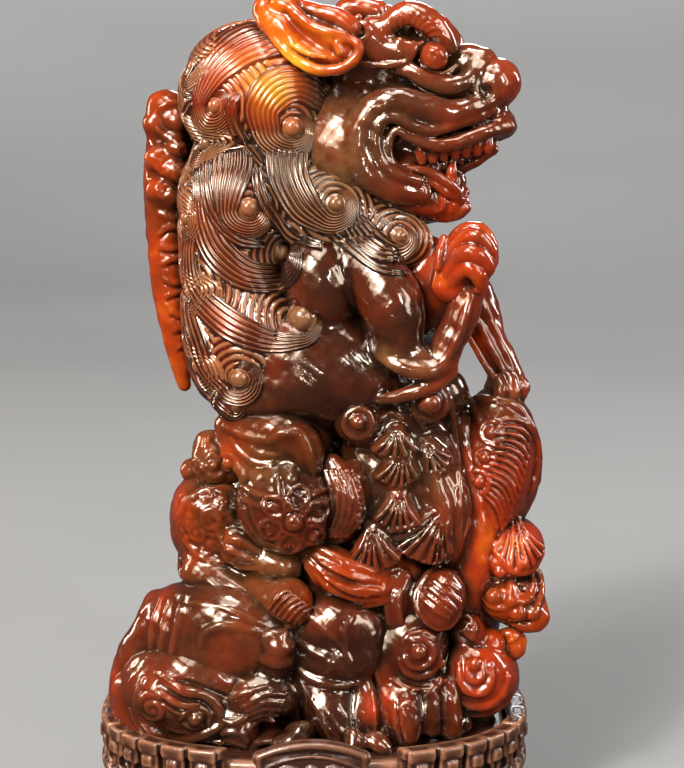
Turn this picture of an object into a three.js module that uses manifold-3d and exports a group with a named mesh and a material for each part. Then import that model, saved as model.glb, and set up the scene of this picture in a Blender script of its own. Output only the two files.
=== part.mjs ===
// A carved figure group, a guardian lion with its cubs, that lifts out of its fitted hardwood stand.
// Millimetres, +Z up. The lion looks along +X and the front of the group faces -Y.
// The origin is under the middle of the object's bounding box, on the surface that the stand stands on.
import * as THREE from "three";
import { mergeVertices } from "three/addons/utils/BufferGeometryUtils.js";
import Module from "manifold-3d";

const wasm = await Module();
wasm.setup();

// ---- driving dimensions ----
const GAP = 0.3; // between neighbouring solids
const FACET = 0.12; // how far a cut edge may move when its facets are merged
const STAND = {
  length: 106,
  depth: 84,
  squareness: 2.5, // exponent of the superellipse outline
  outlineSteps: 40,
  foot: { from: 0, to: 7, inset: 1.5, depth: 10, halfAngle: 0.2 },
  rail: { from: 7 + GAP, to: 12, inset: 2.5 },
  waist: { from: 12 + GAP, to: 17, inset: 8 },
  top: { from: 17 + GAP, to: 27, inset: 5 },
  rim: { from: 18, to: 31, inset: 0, depth: 4.6 },
  notchDepth: 2.2,
  blockShare: 0.74, // of the pitch; the rest is the notch between two upright blocks
  cartoucheWidth: 25,
  cartoucheAngle: 0.33, // half the plan angle that a cartouche takes
  rimBend: 0.42, // plan angle where the rim's end lengths meet its side lengths
};
const SEAT = STAND.top.to; // the carving rests here, inside the rim
const GROUND = { from: SEAT + GAP, to: 30.2, inset: 5.2 };
const LION_HEAD = { at: [14, -2, 170], yaw: -12 };

const COLOUR = {
  dark: 0x3a0d08,
  red: 0x8c1c08,
  orange: 0xc24a10,
  hair: 0x5c3320,
  wood: 0x4a1c10,
};

// ---- solids from three.js geometry ----
function solidOf(geometry) {
  const bare = new THREE.BufferGeometry();
  const source = geometry.index ? geometry.toNonIndexed() : geometry;
  bare.setAttribute("position", source.getAttribute("position"));
  const merged = mergeVertices(bare, 1e-4);
  return new wasm.Manifold(
    new wasm.Mesh({
      numProp: 3,
      vertProperties: merged.attributes.position.array,
      triVerts: new Uint32Array(merged.index.array),
    }),
  );
}

function geometryOf(solid) {
  const mesh = solid.getMesh();
  const geometry = new THREE.BufferGeometry();
  geometry.setAttribute("position", new THREE.BufferAttribute(mesh.vertProperties, 3));
  geometry.setIndex(new THREE.BufferAttribute(mesh.triVerts, 1));
  return geometry;
}

const join = (solids) => solids.reduce((a, b) => a.add(b));

function matrixOf(at, turn = [0, 0, 0]) {
  const radians = turn.map(THREE.MathUtils.degToRad);
  return new THREE.Matrix4()
    .makeRotationFromEuler(new THREE.Euler(...radians, "XYZ"))
    .setPosition(...at);
}

// An ellipsoid. Its radii grow by a margin when it is used as a cutter.
function blob(at, radii, turn, detail = 2) {
  return (grow) => {
    const geometry = new THREE.IcosahedronGeometry(1, detail);
    geometry.scale(...radii.map((r) => r + grow));
    geometry.applyMatrix4(matrixOf(at, turn));
    return solidOf(geometry);
  };
}

// A tapering round limb through [x, y, z, radius] points.
function limb(...points) {
  const pieceBetween = (a, b, grow) => {
    const [p, q] = [new THREE.Vector3(...a), new THREE.Vector3(...b)];
    const [ra, rb, span] = [a[3] + grow, b[3] + grow, p.distanceTo(q)];
    const cap = Math.SQRT1_2;
    const profile = [
      [0, -ra],
      [ra * cap, -ra * cap],
      [ra, 0],
      [rb, span],
      [rb * cap, span + rb * cap],
      [0, span + rb],
    ].map(([r, y]) => new THREE.Vector2(r, y));
    const geometry = new THREE.LatheGeometry(profile, 10);
    const along = q.clone().sub(p).normalize();
    const turn = new THREE.Quaternion().setFromUnitVectors(new THREE.Vector3(0, 1, 0), along);
    geometry.applyQuaternion(turn);
    geometry.translate(...p.toArray());
    return solidOf(geometry);
  };
  return (grow) => join(points.slice(1).map((b, i) => pieceBetween(points[i], b, grow)));
}

const both = (...shapes) => (grow) => join(shapes.map((shape) => shape(grow)));

// ---- the stand: everything follows one superellipse in plan ----
function outlinePoint(angle, inset) {
  const power = 2 / STAND.squareness;
  const [c, s] = [Math.cos(angle), Math.sin(angle)];
  return new THREE.Vector2(
    (STAND.length / 2 - inset) * Math.sign(c) * Math.abs(c) ** power,
    (STAND.depth / 2 - inset) * Math.sign(s) * Math.abs(s) ** power,
  );
}

function upright(points, from, to) {
  const shape = new THREE.Shape(points);
  const geometry = new THREE.ExtrudeGeometry(shape, { depth: to - from, bevelEnabled: false });
  return geometry.translate(0, 0, from);
}

function slab({ from, to, inset }) {
  const angles = Array.from({ length: STAND.outlineSteps }, (_, i) => i / STAND.outlineSteps);
  const points = angles.map((share) => outlinePoint(share * 2 * Math.PI, inset));
  return upright(points, from, to);
}

// A length of band between two plan angles, notched from the outside into upright blocks.
function band({ from, to, inset, depth }, fromAngle, toAngle, blocks) {
  const pitch = (toAngle - fromAngle) / blocks;
  const margin = (1 - STAND.blockShare) / 2;
  const at = (share) => fromAngle + pitch * share;
  const outer = [];
  for (let i = 0; i < blocks; i++) {
    const [start, end] = [i + margin, i + 1 - margin];
    for (const share of [start, i + 0.5, end]) outer.push(outlinePoint(at(share), inset));
    if (i === blocks - 1) continue;
    for (const share of [end, end + 2 * margin])
      outer.push(outlinePoint(at(share), inset + STAND.notchDepth));
  }
  const steps = Math.max(2, blocks);
  const inner = Array.from({ length: steps + 1 }, (_, i) => {
    const share = margin + (blocks - 2 * margin) * (i / steps);
    return outlinePoint(at(share), inset + depth);
  });
  return upright([...outer, ...inner.reverse()], from, to);
}

// A panel with a humped top that closes the rim at the front or at the back.
function cartouche(side) {
  const half = STAND.cartoucheWidth / 2;
  const { from, to, depth } = STAND.rim;
  const shape = new THREE.Shape();
  shape.moveTo(-half, from - 3);
  shape.lineTo(half, from - 3);
  shape.lineTo(half, to - 2);
  shape.bezierCurveTo(half * 0.66, to + 2.5, -half * 0.66, to + 2.5, -half, to - 2);
  const geometry = new THREE.ExtrudeGeometry(shape, {
    depth: depth,
    curveSegments: 10,
    bevelEnabled: false,
  });
  geometry.rotateX(Math.PI / 2);
  return geometry.translate(0, side > 0 ? STAND.depth / 2 : depth - STAND.depth / 2, 0);
}

function standParts() {
  const quarter = Math.PI / 2;
  const { cartoucheAngle, rimBend } = STAND;
  const parts = {};
  for (const name of ["rail", "waist", "top"]) parts[`stand_${name}`] = slab(STAND[name]);
  const corners = ["back_right", "back_left", "front_left", "front_right"];
  corners.forEach((corner, i) => {
    const middle = quarter * (i + 0.5);
    const { halfAngle } = STAND.foot;
    parts[`stand_foot_${corner}`] = band(STAND.foot, middle - halfAngle, middle + halfAngle, 1);
    const towardsBackOrFront = i % 2 === 0;
    const start = quarter * i + (towardsBackOrFront ? rimBend : cartoucheAngle);
    const end = quarter * (i + 1) - (towardsBackOrFront ? cartoucheAngle : rimBend);
    parts[`stand_rim_${corner}`] = band(STAND.rim, start, end, 5);
  });
  parts.stand_rim_right = band(STAND.rim, -rimBend, rimBend, 5);
  parts.stand_rim_left = band(STAND.rim, 2 * quarter - rimBend, 2 * quarter + rimBend, 5);
  parts.stand_cartouche_front = cartouche(-1);
  parts.stand_cartouche_back = cartouche(1);
  return parts;
}

// ---- the carving ----
// A shape on the head is given forward, left and up from the middle of the skull.
function onHead(shape) {
  const place = matrixOf(LION_HEAD.at, [0, 0, LION_HEAD.yaw]);
  return (grow) => solidOf(geometryOf(shape(grow)).applyMatrix4(place));
}

const ear = (side) => onHead(blob([-12, side * 13, 23], [14, 4, 7.5], [side * -12, 32, 0]));
const eye = (side) => onHead(blob([14.5, side * 8, 19], [4, 3.6, 4], [0, 0, 0], 1));
const skull = onHead(both(blob([-1, 0, -1], [16.5, 14.5, 17], [0, 0, 0], 3), blob([4, 0, 19], [15, 11, 10.5])));
const snout = onHead(both(blob([17, 0, 8], [16, 8.5, 7], [0, -4, 0]), blob([30, 0, 12.5], [5.8, 6.5, 5.6])));
const ruff = (y) => both(blob([4, y, 153], [12, 6, 9], [0, 25, 0]), blob([19, y * 0.9, 147], [9, 6, 6], [0, 25, 0]));

// Every carved element in order. A later one gives way to those before it.
const CARVED = [
  ["carved_ground", COLOUR.dark, () => solidOf(slab(GROUND))],
  ["rock_core", COLOUR.dark, blob([8, 0, 62], [26, 17, 32])],
  ["lion_torso", COLOUR.dark, blob([6, -1, 129], [24, 15, 26])],
  ["lion_eye_near", COLOUR.red, eye(-1)],
  ["lion_eye_far", COLOUR.red, eye(1)],
  ["lion_ear_near", COLOUR.orange, ear(-1)],
  ["lion_ear_far", COLOUR.orange, ear(1)],
  ["lion_tongue", COLOUR.red, onHead(blob([19, 0, -3.5], [9, 4.5, 2], [0, -12, 0]))],
  ["lion_skull", COLOUR.dark, skull],
  ["lion_snout", COLOUR.dark, snout],
  ["lion_lower_jaw", COLOUR.red, onHead(limb([10, 0, -12, 8], [19, 0, -12, 6.5], [27, 0, -5, 3.5]))],
  ["raised_forepaw", COLOUR.orange, blob([35, -20, 141], [8, 7, 8])],
  ["raised_foreleg", COLOUR.dark, limb([6, -17, 134, 10], [17, -19, 127, 9], [26, -20, 121, 7], [33, -20, 134, 5.5])],
  ["reaching_forepaw", COLOUR.dark, blob([48, 2, 110], [5, 6, 5.5])],
  ["reaching_foreleg", COLOUR.dark, limb([26, 6, 134, 8], [37, 4, 133, 6], [43, 3, 122, 5], [47, 2, 113, 4])],
  ["lion_tail", COLOUR.orange, limb([-28, 3, 108, 3.5], [-33, 4, 130, 4.5], [-35, 4, 158, 7.2], [-35, 4, 174, 6])],
  ["mane_ruff_near", COLOUR.hair, ruff(-14)],
  ["mane_ruff_far", COLOUR.hair, ruff(11)],
  ["mane_crown", COLOUR.hair, blob([-14, -1, 181], [19, 20, 18], [0, 0, 0], 3)],
  ["mane_nape", COLOUR.hair, blob([-17, -1, 155], [16, 22, 16])],
  ["mane_back", COLOUR.hair, blob([-15, -1, 122], [17, 24, 23], [0, -8, 0], 3)],
  ["lion_haunch_near", COLOUR.dark, blob([1, -11, 116], [23, 14, 15], [0, 12, 0], 3)],
  ["lion_haunch_far", COLOUR.dark, blob([1, 10, 116], [23, 14, 15], [0, 12, 0])],
  ["brocade_ball", COLOUR.red, blob([-5, -21, 83], [12, 12, 12], [0, 0, 0], 3)],
  ["hind_leg_near", COLOUR.orange, both(blob([-8, -17, 98], [13, 11, 8]), limb([3, -19, 96, 7], [6, -22, 88, 6]))],
  ["tufted_leg", COLOUR.dark, both(blob([22, -11, 87], [13, 12, 20], [0, 6, 0]), blob([17, -19, 105], [9, 5, 6]))],
  ["climbing_cub_head", COLOUR.orange, blob([51, -5, 57], [6.5, 8, 6.5])],
  ["climbing_cub_rump", COLOUR.red, blob([49.5, -3, 70], [8, 9.5, 7.5])],
  ["climbing_cub_body", COLOUR.red, blob([45, -1, 92], [10.5, 14, 18], [0, 4, 0])],
  ["left_cub_paw", COLOUR.orange, limb([-16, -20, 66, 6], [-7, -25, 62, 5.5])],
  ["left_cub_head", COLOUR.orange, blob([-20, -7, 91], [8, 9, 8])],
  ["left_cub_body", COLOUR.orange, blob([-23, -2, 76], [13.5, 15, 15])],
  ["lower_paw", COLOUR.dark, blob([31, -22, 62], [7, 6, 7.5])],
  ["sash_fold", COLOUR.red, blob([14, -17, 66], [16, 9, 8.5], [0, 8, 0])],
  ["crouching_cub_paws", COLOUR.dark, limb([-14, -25, 50, 5], [-7, -27, 50, 4.5], [-12, -29, 36, 5], [-19, -31, 34.5, 4.5])],
  ["crouching_cub_head", COLOUR.red, blob([-32, -18, 39], [14, 15, 9.5])],
  ["crouching_cub_body", COLOUR.dark, blob([-23, -10, 49], [21, 20, 15], [0, 0, 0], 3)],
  ["pearl", COLOUR.orange, blob([49, -7, 45.5], [4.4, 4.4, 4.4], [0, 0, 0], 1)],
  ["cloud_scroll_front", COLOUR.red, both(blob([25, -22, 49], [7.5, 7, 8.5]), blob([23, -22, 37], [9, 8, 8]))],
  ["cloud_scroll_right", COLOUR.red, blob([41, -12, 38.5], [9.5, 12, 8.5])],
  ["rock_front", COLOUR.dark, both(blob([7, -18, 52], [12, 9, 12]), blob([4, -24, 38], [11, 9, 9]))],
  ["cloud_scroll_back", COLOUR.red, both(blob([16, 22, 42], [15, 10, 13]), blob([-14, 22, 44], [16, 10, 15]))],
  ["rock_right", COLOUR.red, blob([38, 3, 70], [11, 14, 38])],
  ["rock_back", COLOUR.dark, blob([2, 13, 76], [28, 16, 32])],
];

function carvingParts() {
  const parts = {};
  const cutters = [];
  for (const [name, colour, shape] of CARVED) {
    const cut = cutters.reduce((left, cutter) => left.subtract(cutter), shape(0));
    const pieces = cut.decompose().sort((a, b) => b.volume() - a.volume());
    parts[name] = { colour, geometry: geometryOf(pieces[0].simplify(FACET)) };
    cutters.push(shape(GAP));
  }
  return parts;
}

function addMesh(group, name, geometry, colour, roughness) {
  const material = new THREE.MeshStandardMaterial({ color: colour, roughness, metalness: 0 });
  const mesh = new THREE.Mesh(geometry, material);
  mesh.name = name;
  group.add(mesh);
}

const figurine = new THREE.Group();
for (const [name, geometry] of Object.entries(standParts()))
  addMesh(figurine, name, geometry, COLOUR.wood, 0.45);
for (const [name, { colour, geometry }] of Object.entries(carvingParts()))
  addMesh(figurine, name, geometry, colour, 0.15);

// The frame's origin goes under the middle of the whole object.
const bounds = new THREE.Box3().setFromObject(figurine);
const middle = bounds.getCenter(new THREE.Vector3());
figurine.position.set(-middle.x, -middle.y, -bounds.min.z);

const placed = new THREE.Group();
placed.add(figurine);
export default placed;
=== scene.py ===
# The looks of a carved guardian lion group on its stand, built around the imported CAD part.
# Shapes are in millimetres from the table under the stand's middle: +X where the lion faces, -Y front, +Z up.
import math

import bpy
import numpy as np
import openvdb
from mathutils import Euler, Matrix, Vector
from mathutils.bvhtree import BVHTree


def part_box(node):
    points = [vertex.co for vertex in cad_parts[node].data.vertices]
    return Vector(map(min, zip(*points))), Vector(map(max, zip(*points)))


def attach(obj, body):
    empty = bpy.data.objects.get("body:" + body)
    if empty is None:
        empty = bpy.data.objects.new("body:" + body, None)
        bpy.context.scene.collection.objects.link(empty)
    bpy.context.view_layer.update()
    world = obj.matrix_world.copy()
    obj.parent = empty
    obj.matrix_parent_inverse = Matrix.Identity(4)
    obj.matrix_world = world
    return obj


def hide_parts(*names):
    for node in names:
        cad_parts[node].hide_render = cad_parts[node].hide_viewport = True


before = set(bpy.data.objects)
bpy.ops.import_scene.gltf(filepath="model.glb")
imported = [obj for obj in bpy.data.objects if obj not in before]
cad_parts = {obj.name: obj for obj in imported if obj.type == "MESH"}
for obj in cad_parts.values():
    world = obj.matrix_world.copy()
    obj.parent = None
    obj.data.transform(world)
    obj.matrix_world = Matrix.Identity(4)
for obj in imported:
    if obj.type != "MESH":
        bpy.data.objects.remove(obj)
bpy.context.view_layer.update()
MM = 0.001
low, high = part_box("stand_top")
ORIGIN = np.array([(low.x + high.x) / 2, (low.y + high.y) / 2, 0.0])


# ---- shapes: each is (lowest corner, highest corner, signed distance function) ----
def ball(at, radii, turn=(0, 0, 0)):
    """An ellipsoid."""
    at = np.array(at, float)
    r = np.broadcast_to(np.array(radii, float), 3)
    turned = np.array(Euler([math.radians(a) for a in turn]).to_matrix())
    reach = np.sqrt(((turned * r) ** 2).sum(1))

    def distance(x, y, z):
        d = (x - at[0], y - at[1], z - at[2])
        local = [sum(turned[k, i] * d[k] for k in range(3)) for i in range(3)]
        k0 = np.sqrt(sum((p / q) ** 2 for p, q in zip(local, r)))
        k1 = np.sqrt(sum((p / q**2) ** 2 for p, q in zip(local, r)))
        return k0 * (k0 - 1) / np.maximum(k1, 1e-6)

    return at - reach, at + reach, distance


def smooth_line(points, steps=4):
    """Points on a smooth curve through the given ones."""
    p = np.array(points, float)
    if len(p) < 3 or steps < 2:
        return p
    ends = np.vstack([2 * p[0] - p[1], p, 2 * p[-1] - p[-2]])
    out = []
    for i in range(1, len(ends) - 2):
        a, b, c, d = ends[i - 1 : i + 3]
        for t in np.arange(steps) / steps:
            cubic = 3 * b - a - 3 * c + d
            out.append(0.5 * (2 * b + (c - a) * t + (2 * a - 5 * b + 4 * c - d) * t**2 + cubic * t**3))
    return np.vstack([out, p[-1:]])


def rope(*points, steps=4):
    """A round strand through (x, y, z, radius) points."""
    p = smooth_line(points, steps)
    p[:, 3] = np.maximum(p[:, 3], 0.15)

    def distance(x, y, z):
        best = None
        for a, b in zip(p[:-1], p[1:]):
            axis = b[:3] - a[:3]
            squared = max(float(axis @ axis), 1e-9)
            t = ((x - a[0]) * axis[0] + (y - a[1]) * axis[1] + (z - a[2]) * axis[2]) / squared
            t = np.clip(t, 0, 1)
            off = [(v - a[i] - t * axis[i]) ** 2 for i, v in enumerate((x, y, z))]
            d = np.sqrt(off[0] + off[1] + off[2]) - (a[3] + t * (b[3] - a[3]))
            best = d if best is None else np.minimum(best, d)
        return best

    return (p[:, :3] - p[:, 3:]).min(0), (p[:, :3] + p[:, 3:]).max(0), distance


def strand(radius, *points):
    """A strand of one radius through (x, y, z) points."""
    return rope(*[(*p, radius) for p in points])


def coil(at, outer, inner, turns, radius, start=0, across=(1, 0, 0), sense=1):
    """A spiral strand of one radius, which winds in from the outer radius in an upright plane."""
    u, v = Vector(across), Vector((0, 0, 1))
    count = max(8, int(turns * 14))
    points = []
    for i in range(count + 1):
        t = i / count
        angle = math.radians(start) + sense * 2 * math.pi * turns * t
        r = outer + (inner - outer) * t
        p = Vector(at) + u * (r * math.cos(angle)) + v * (r * math.sin(angle))
        points.append((*p, radius))
    return rope(*points, steps=1)


def paw(at, size, forward, up, toes=4, spread=0.9):
    """Toes that reach over from a pad, each ending in a claw."""
    f, u = Vector(forward).normalized(), Vector(up).normalized()
    side = f.cross(u).normalized()
    u = side.cross(f)
    at = Vector(at)
    out = [ball(at, size * 0.9)]
    for i in range(toes):
        s = (i - (toes - 1) / 2) * spread * size * 0.62
        a = at + side * s * 0.7 + u * size * 0.45
        b = at + side * s + f * size * 0.75 + u * size * 0.62
        c = at + side * s * 1.08 + f * size * 1.25 + u * size * 0.05
        d = at + side * s * 1.08 + f * size * 1.2 - u * size * 0.65
        thick = size * 0.34
        out.append(rope((*a, thick), (*b, thick * 1.05), (*c, thick * 0.9), (*d, thick * 0.35), steps=3))
    return out


def mirrored(points):
    return [(p[0], -p[1], *p[2:]) for p in points]


def sides(make, *points, **options):
    """The same strand on both sides of the head."""
    return [make(*points, **options), make(*mirrored(points), **options)]


def add(shapes, blend=0.7):
    return [("add", s, blend) for s in (shapes if isinstance(shapes, list) else [shapes])]


def cut(shapes, blend=0.5):
    return [("cut", s, blend) for s in (shapes if isinstance(shapes, list) else [shapes])]


# ---- clay: a block of voxels that shapes are added to and cut from ----
REACH = 2.4  # mm from a surface, out to where a block's distances are true


def blurred(field, radius, rounds=3):
    """The mean over a box of voxels, a few times over."""
    for axis in range(3):
        for _ in range(rounds):
            padded = np.pad(field, [(radius + 1, radius) if a == axis else (0, 0) for a in range(3)],
                            mode="edge")
            total = np.cumsum(padded, axis=axis, dtype=np.float64)
            size, width = field.shape[axis], 2 * radius + 1
            upper = np.take(total, range(width, width + size), axis)
            field = ((upper - np.take(total, range(size), axis)) / width).astype(np.float32)
    return field


class Clay:
    def __init__(self, low, high, step):
        self.low, self.step = np.array(low, float), step
        size = np.ceil((np.array(high) - self.low) / step).astype(int) + 1
        self.field = np.full(size, 9.0, np.float32)

    def window(self, low, high, margin):
        size = self.field.shape
        a = [max(0, int((low[i] - margin - self.low[i]) / self.step)) for i in range(3)]
        b = [min(size[i], int((high[i] + margin - self.low[i]) / self.step) + 2) for i in range(3)]
        if any(p >= q for p, q in zip(a, b)):
            return None, None
        axes = [(self.low[i] + self.step * np.arange(a[i], b[i])).astype(np.float32) for i in range(3)]
        grid = (axes[0][:, None, None], axes[1][None, :, None], axes[2][None, None, :])
        return tuple(slice(p, q) for p, q in zip(a, b)), grid

    def shape(self, kind, shape, blend):
        where, grid = self.window(shape[0], shape[1], max(blend + 3 * self.step, REACH + self.step))
        if where is None:
            return
        sign = 1 if kind == "add" else -1
        old, new = sign * self.field[where], shape[2](*grid).astype(np.float32)
        h = np.clip(0.5 + 0.5 * (old - new) / blend, 0, 1)
        self.field[where] = sign * (old * (1 - h) + new * h - blend * h * (1 - h))

    def fill(self, width, level):
        """Raises the ground between raised parts to their smoothed surface, plus a level."""
        near = np.clip(self.field, -REACH, REACH)
        ground = blurred(near, max(1, round(width / self.step)), 2) - level
        h = np.clip(0.5 + 0.5 * (self.field - ground) / 0.6, 0, 1)
        self.field = self.field * (1 - h) + ground * h - 0.6 * h * (1 - h)

    def skin(self, rounds):
        limit = 3 * self.step
        grid = openvdb.FloatGrid(background=limit)
        grid.copyFromArray(np.clip(self.field, -limit, limit), tolerance=0.0)
        points, quads = grid.convertToQuads(0.0)
        v = self.low + points.astype(float) * self.step
        quads = quads.astype(np.int32)
        a, b, c = v[quads[:, 0]], v[quads[:, 1]], v[quads[:, 2]]
        if np.einsum("ij,ij->i", a - v.mean(0), np.cross(b - a, c - a)).sum() < 0:
            quads = quads[:, ::-1].copy()
        return relax(v, quads, rounds), quads

    def inside(self, points):
        """Whether each point is in the clay."""
        i = np.round((points - self.low) / self.step).astype(int)
        ok = ((i >= 0) & (i < self.field.shape)).all(1)
        found = np.zeros(len(points), bool)
        i = i[ok]
        found[ok] = self.field[i[:, 0], i[:, 1], i[:, 2]] < 0
        return found


def neighbour_mean(v, quads):
    n = len(v)
    pairs = np.concatenate([quads[:, [i, (i + 1) % 4]] for i in range(4)])
    pairs = np.concatenate([pairs, pairs[:, ::-1]])
    count = np.maximum(np.bincount(pairs[:, 0], minlength=n), 1)
    return np.stack([np.bincount(pairs[:, 0], weights=w[pairs[:, 1]], minlength=n) / count for w in v.T], 1)


def relax(v, quads, rounds):
    for _ in range(rounds):
        v = v + 0.5 * (neighbour_mean(v, quads) - v)
    return v


def normals_of(v, quads):
    n = np.cross(v[quads[:, 2]] - v[quads[:, 0]], v[quads[:, 3]] - v[quads[:, 1]])
    total = np.zeros_like(v)
    for k in range(4):
        for i in range(3):
            total[:, i] += np.bincount(quads[:, k], weights=n[:, i], minlength=len(v))
    return total / np.maximum(np.linalg.norm(total, axis=1), 1e-9)[:, None]


# ---- pieces ----
PIECES = []
IN_PLACE = (np.eye(3), np.zeros(3))


# glow is how much painted glow, as if light shone through it, the piece's colour gets
def keep(name, nodes, slot, v, quads, glow=0.0, hair=0.0, clay=None, place=IN_PLACE):
    piece = {"name": name, "nodes": nodes, "slot": slot, "glow": glow, "hair": hair, "clay": clay,
             "place": place}
    piece["v"], piece["quads"] = v, quads
    PIECES.append(piece)
    return piece


def carve(name, nodes, slot, glow, *steps, step=0.45, rounds=1, place=IN_PLACE, hair=0.0):
    """Shapes are added to and cut from a block in order, and its skin is the piece."""
    known = [s for group in steps if not callable(group) for kind, s, _ in group if kind == "add"]
    clay = Clay(np.min([s[0] for s in known], axis=0) - 2.5, np.max([s[1] for s in known], axis=0) + 2.5,
                step)
    for group in steps:
        for kind, shape, blend in group(clay) if callable(group) else group:
            clay.shape(kind, shape, blend)
    v, quads = clay.skin(rounds)
    turned, shift = place
    return keep(name, nodes, slot, v @ turned.T + shift, quads, glow, hair, clay, place)


# ---- fine work drawn on the front of a piece: each line is ((x, z, radius), ...) seen from the front ----
def lying(clay, line, proud, fallback, behind=False):
    """The rope that follows a line over the front of the clay, or over its back."""
    points = smooth_line(line, 5)
    high = clay.low[1] + clay.step * (clay.field.shape[1] - 1)
    ys = []
    for x, z, _ in points:
        i, k = round((x - clay.low[0]) / clay.step), round((z - clay.low[2]) / clay.step)
        inside = 0 <= i < clay.field.shape[0] and 0 <= k < clay.field.shape[2]
        column = clay.field[i, :, k] if inside else np.ones(2)
        if behind:
            column = column[::-1]
        hits = np.nonzero(column < 0)[0]
        if len(hits) and hits[0] > 0:
            j = hits[0]
            depth = clay.step * (j - 1 + column[j - 1] / (column[j - 1] - column[j]))
            ys.append(high - depth if behind else clay.low[1] + depth)
        else:
            ys.append(np.nan)
    ys = np.array(ys)
    known = ~np.isnan(ys)
    if known.any():
        ys = np.interp(np.arange(len(ys)), np.nonzero(known)[0], ys[known])
    else:
        ys = np.full(len(ys), fallback)
    for _ in range(2):
        ys = np.convolve(np.pad(ys, 1, mode="edge"), (0.25, 0.5, 0.25), mode="valid")
    sunk = -1 if behind else 1
    return rope(*[(x, y + sunk * r * (1 - proud), z, r) for (x, z, r), y in zip(points, ys)], steps=1)


def draw(*lines, blend=0.3, proud=0.7, kind="add", fallback=-22.0, behind=False):
    return lambda clay: [(kind, lying(clay, line, proud, fallback, behind), blend) for line in lines]


def scratch(*lines, blend=0.3, fallback=-22.0, behind=False):
    return draw(*lines, blend=blend, proud=0.6, kind="cut", fallback=fallback, behind=behind)


def both(job):
    """The same drawing on the near and the far side of a piece."""
    def twice(clay):
        made = job(clay)
        return made + [(kind, flipped(shape), blend) for kind, shape, blend in made]

    return twice


def flipped(shape):
    """A shape mirrored from one side to the other."""
    low, high, distance = shape
    same, turned = np.array((1, 0, 1)), np.array((0, 1, 0))
    return low * same - high * turned, high * same - low * turned, lambda x, y, z: distance(x, -y, z)


def fill(width, level):
    """Raises the ground between the parts made so far."""
    def job(clay):
        clay.fill(width, level)
        return []

    return job


def ribs(apex, tips, count, r0, r1, bow=0.0):
    """Lines that spread from an apex to an arc of tips."""
    arc = smooth_line([(*t, 0.0) for t in tips], 10)
    out = []
    for i in range(count):
        tip = arc[round(i * (len(arc) - 1) / (count - 1))][:2]
        s = 2 * i / (count - 1) - 1
        root = np.array(apex[:2]) + 0.18 * (tip - np.array(apex[:2]))
        middle = (root + tip) / 2 + bow * s * np.array([(tip - root)[1], -(tip - root)[0]])
        out.append(((*root, r0), (*middle, (r0 + r1) / 2), (*tip, r1)))
    return out


def tuft(apex, tips, count, y, r0=0.34, r1=0.78, thick=1.5, bow=0.06):
    """A tuft of hair: a thick fan of ground, and the ribs that are drawn on it."""
    ground = [rope((*root[:1], y + 1.2, root[1], thick * 0.7), (*middle[:1], y, middle[1], thick * 0.9),
                   (*tip[:1], y + 0.3, tip[1], thick * 0.75), steps=3)
              for root, middle, tip in ribs(apex, tips, count + 1, r0, r1, bow)]
    return add(ground, 0.9), comb(apex, tips, count, r0, r1, bow)


def comb(apex, tips, count, r0=0.34, r1=0.78, bow=0.06, fallback=-22.0, behind=False):
    """Raised ribs that spread from an apex, with a groove between each two."""
    grooves = ribs(apex, tips, 2 * count - 1, 0.2, 0.42, bow)[1::2]

    def job(clay):
        raised = draw(*ribs(apex, tips, count, r0, r1, bow), blend=0.2, proud=0.75, fallback=fallback,
                      behind=behind)
        sunk = draw(*grooves, blend=0.25, proud=0.7, kind="cut", fallback=fallback, behind=behind)
        return raised(clay) + sunk(clay)

    return job


def scrolls(places, thick=0.9, fallback=22.0):
    """Spirals with a bead in the middle, drawn on the back: each place is (x, z, size, start, sense)."""
    lines = [ring(x, z, r, thick, 0.25 * r, 1.8, start, sense) for x, z, r, start, sense in places]
    knobs = [bead(x, z, 0.28 * r) for x, z, r, start, sense in places]
    spirals = draw(*lines, blend=0.3, proud=0.75, fallback=fallback, behind=True)
    return spirals, draw(*knobs, blend=0.3, proud=0.9, fallback=fallback, behind=True)


def ring(x, z, outer, radius, inner=None, turns=1.0, start=0, sense=1):
    """A ring, or a spiral, as a line."""
    inner = outer if inner is None else inner
    count = max(6, int(turns * 8))
    out = []
    for i in range(count + 1):
        t = i / count
        angle = math.radians(start) + sense * 2 * math.pi * turns * t
        r = outer + (inner - outer) * t
        out.append((x + r * math.cos(angle), z + r * math.sin(angle), radius))
    return out


def bead(x, z, radius):
    return [(x - 0.02, z, radius), (x + 0.02, z, radius)]


def beads(seed, count, x_range, z_range, size):
    r = np.random.default_rng(seed)
    return [bead(r.uniform(*x_range), r.uniform(*z_range), r.uniform(*size)) for _ in range(count)]


# ---- the lion's head, in its own frame: (forward, left, up) from the middle of the skull ----
YAW = math.radians(-12)
TURNED = np.array([[math.cos(YAW), -math.sin(YAW), 0], [math.sin(YAW), math.cos(YAW), 0], [0, 0, 1]])
ON_HEAD = (TURNED, np.array([14.0, -2.0, 170.0]))


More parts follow.
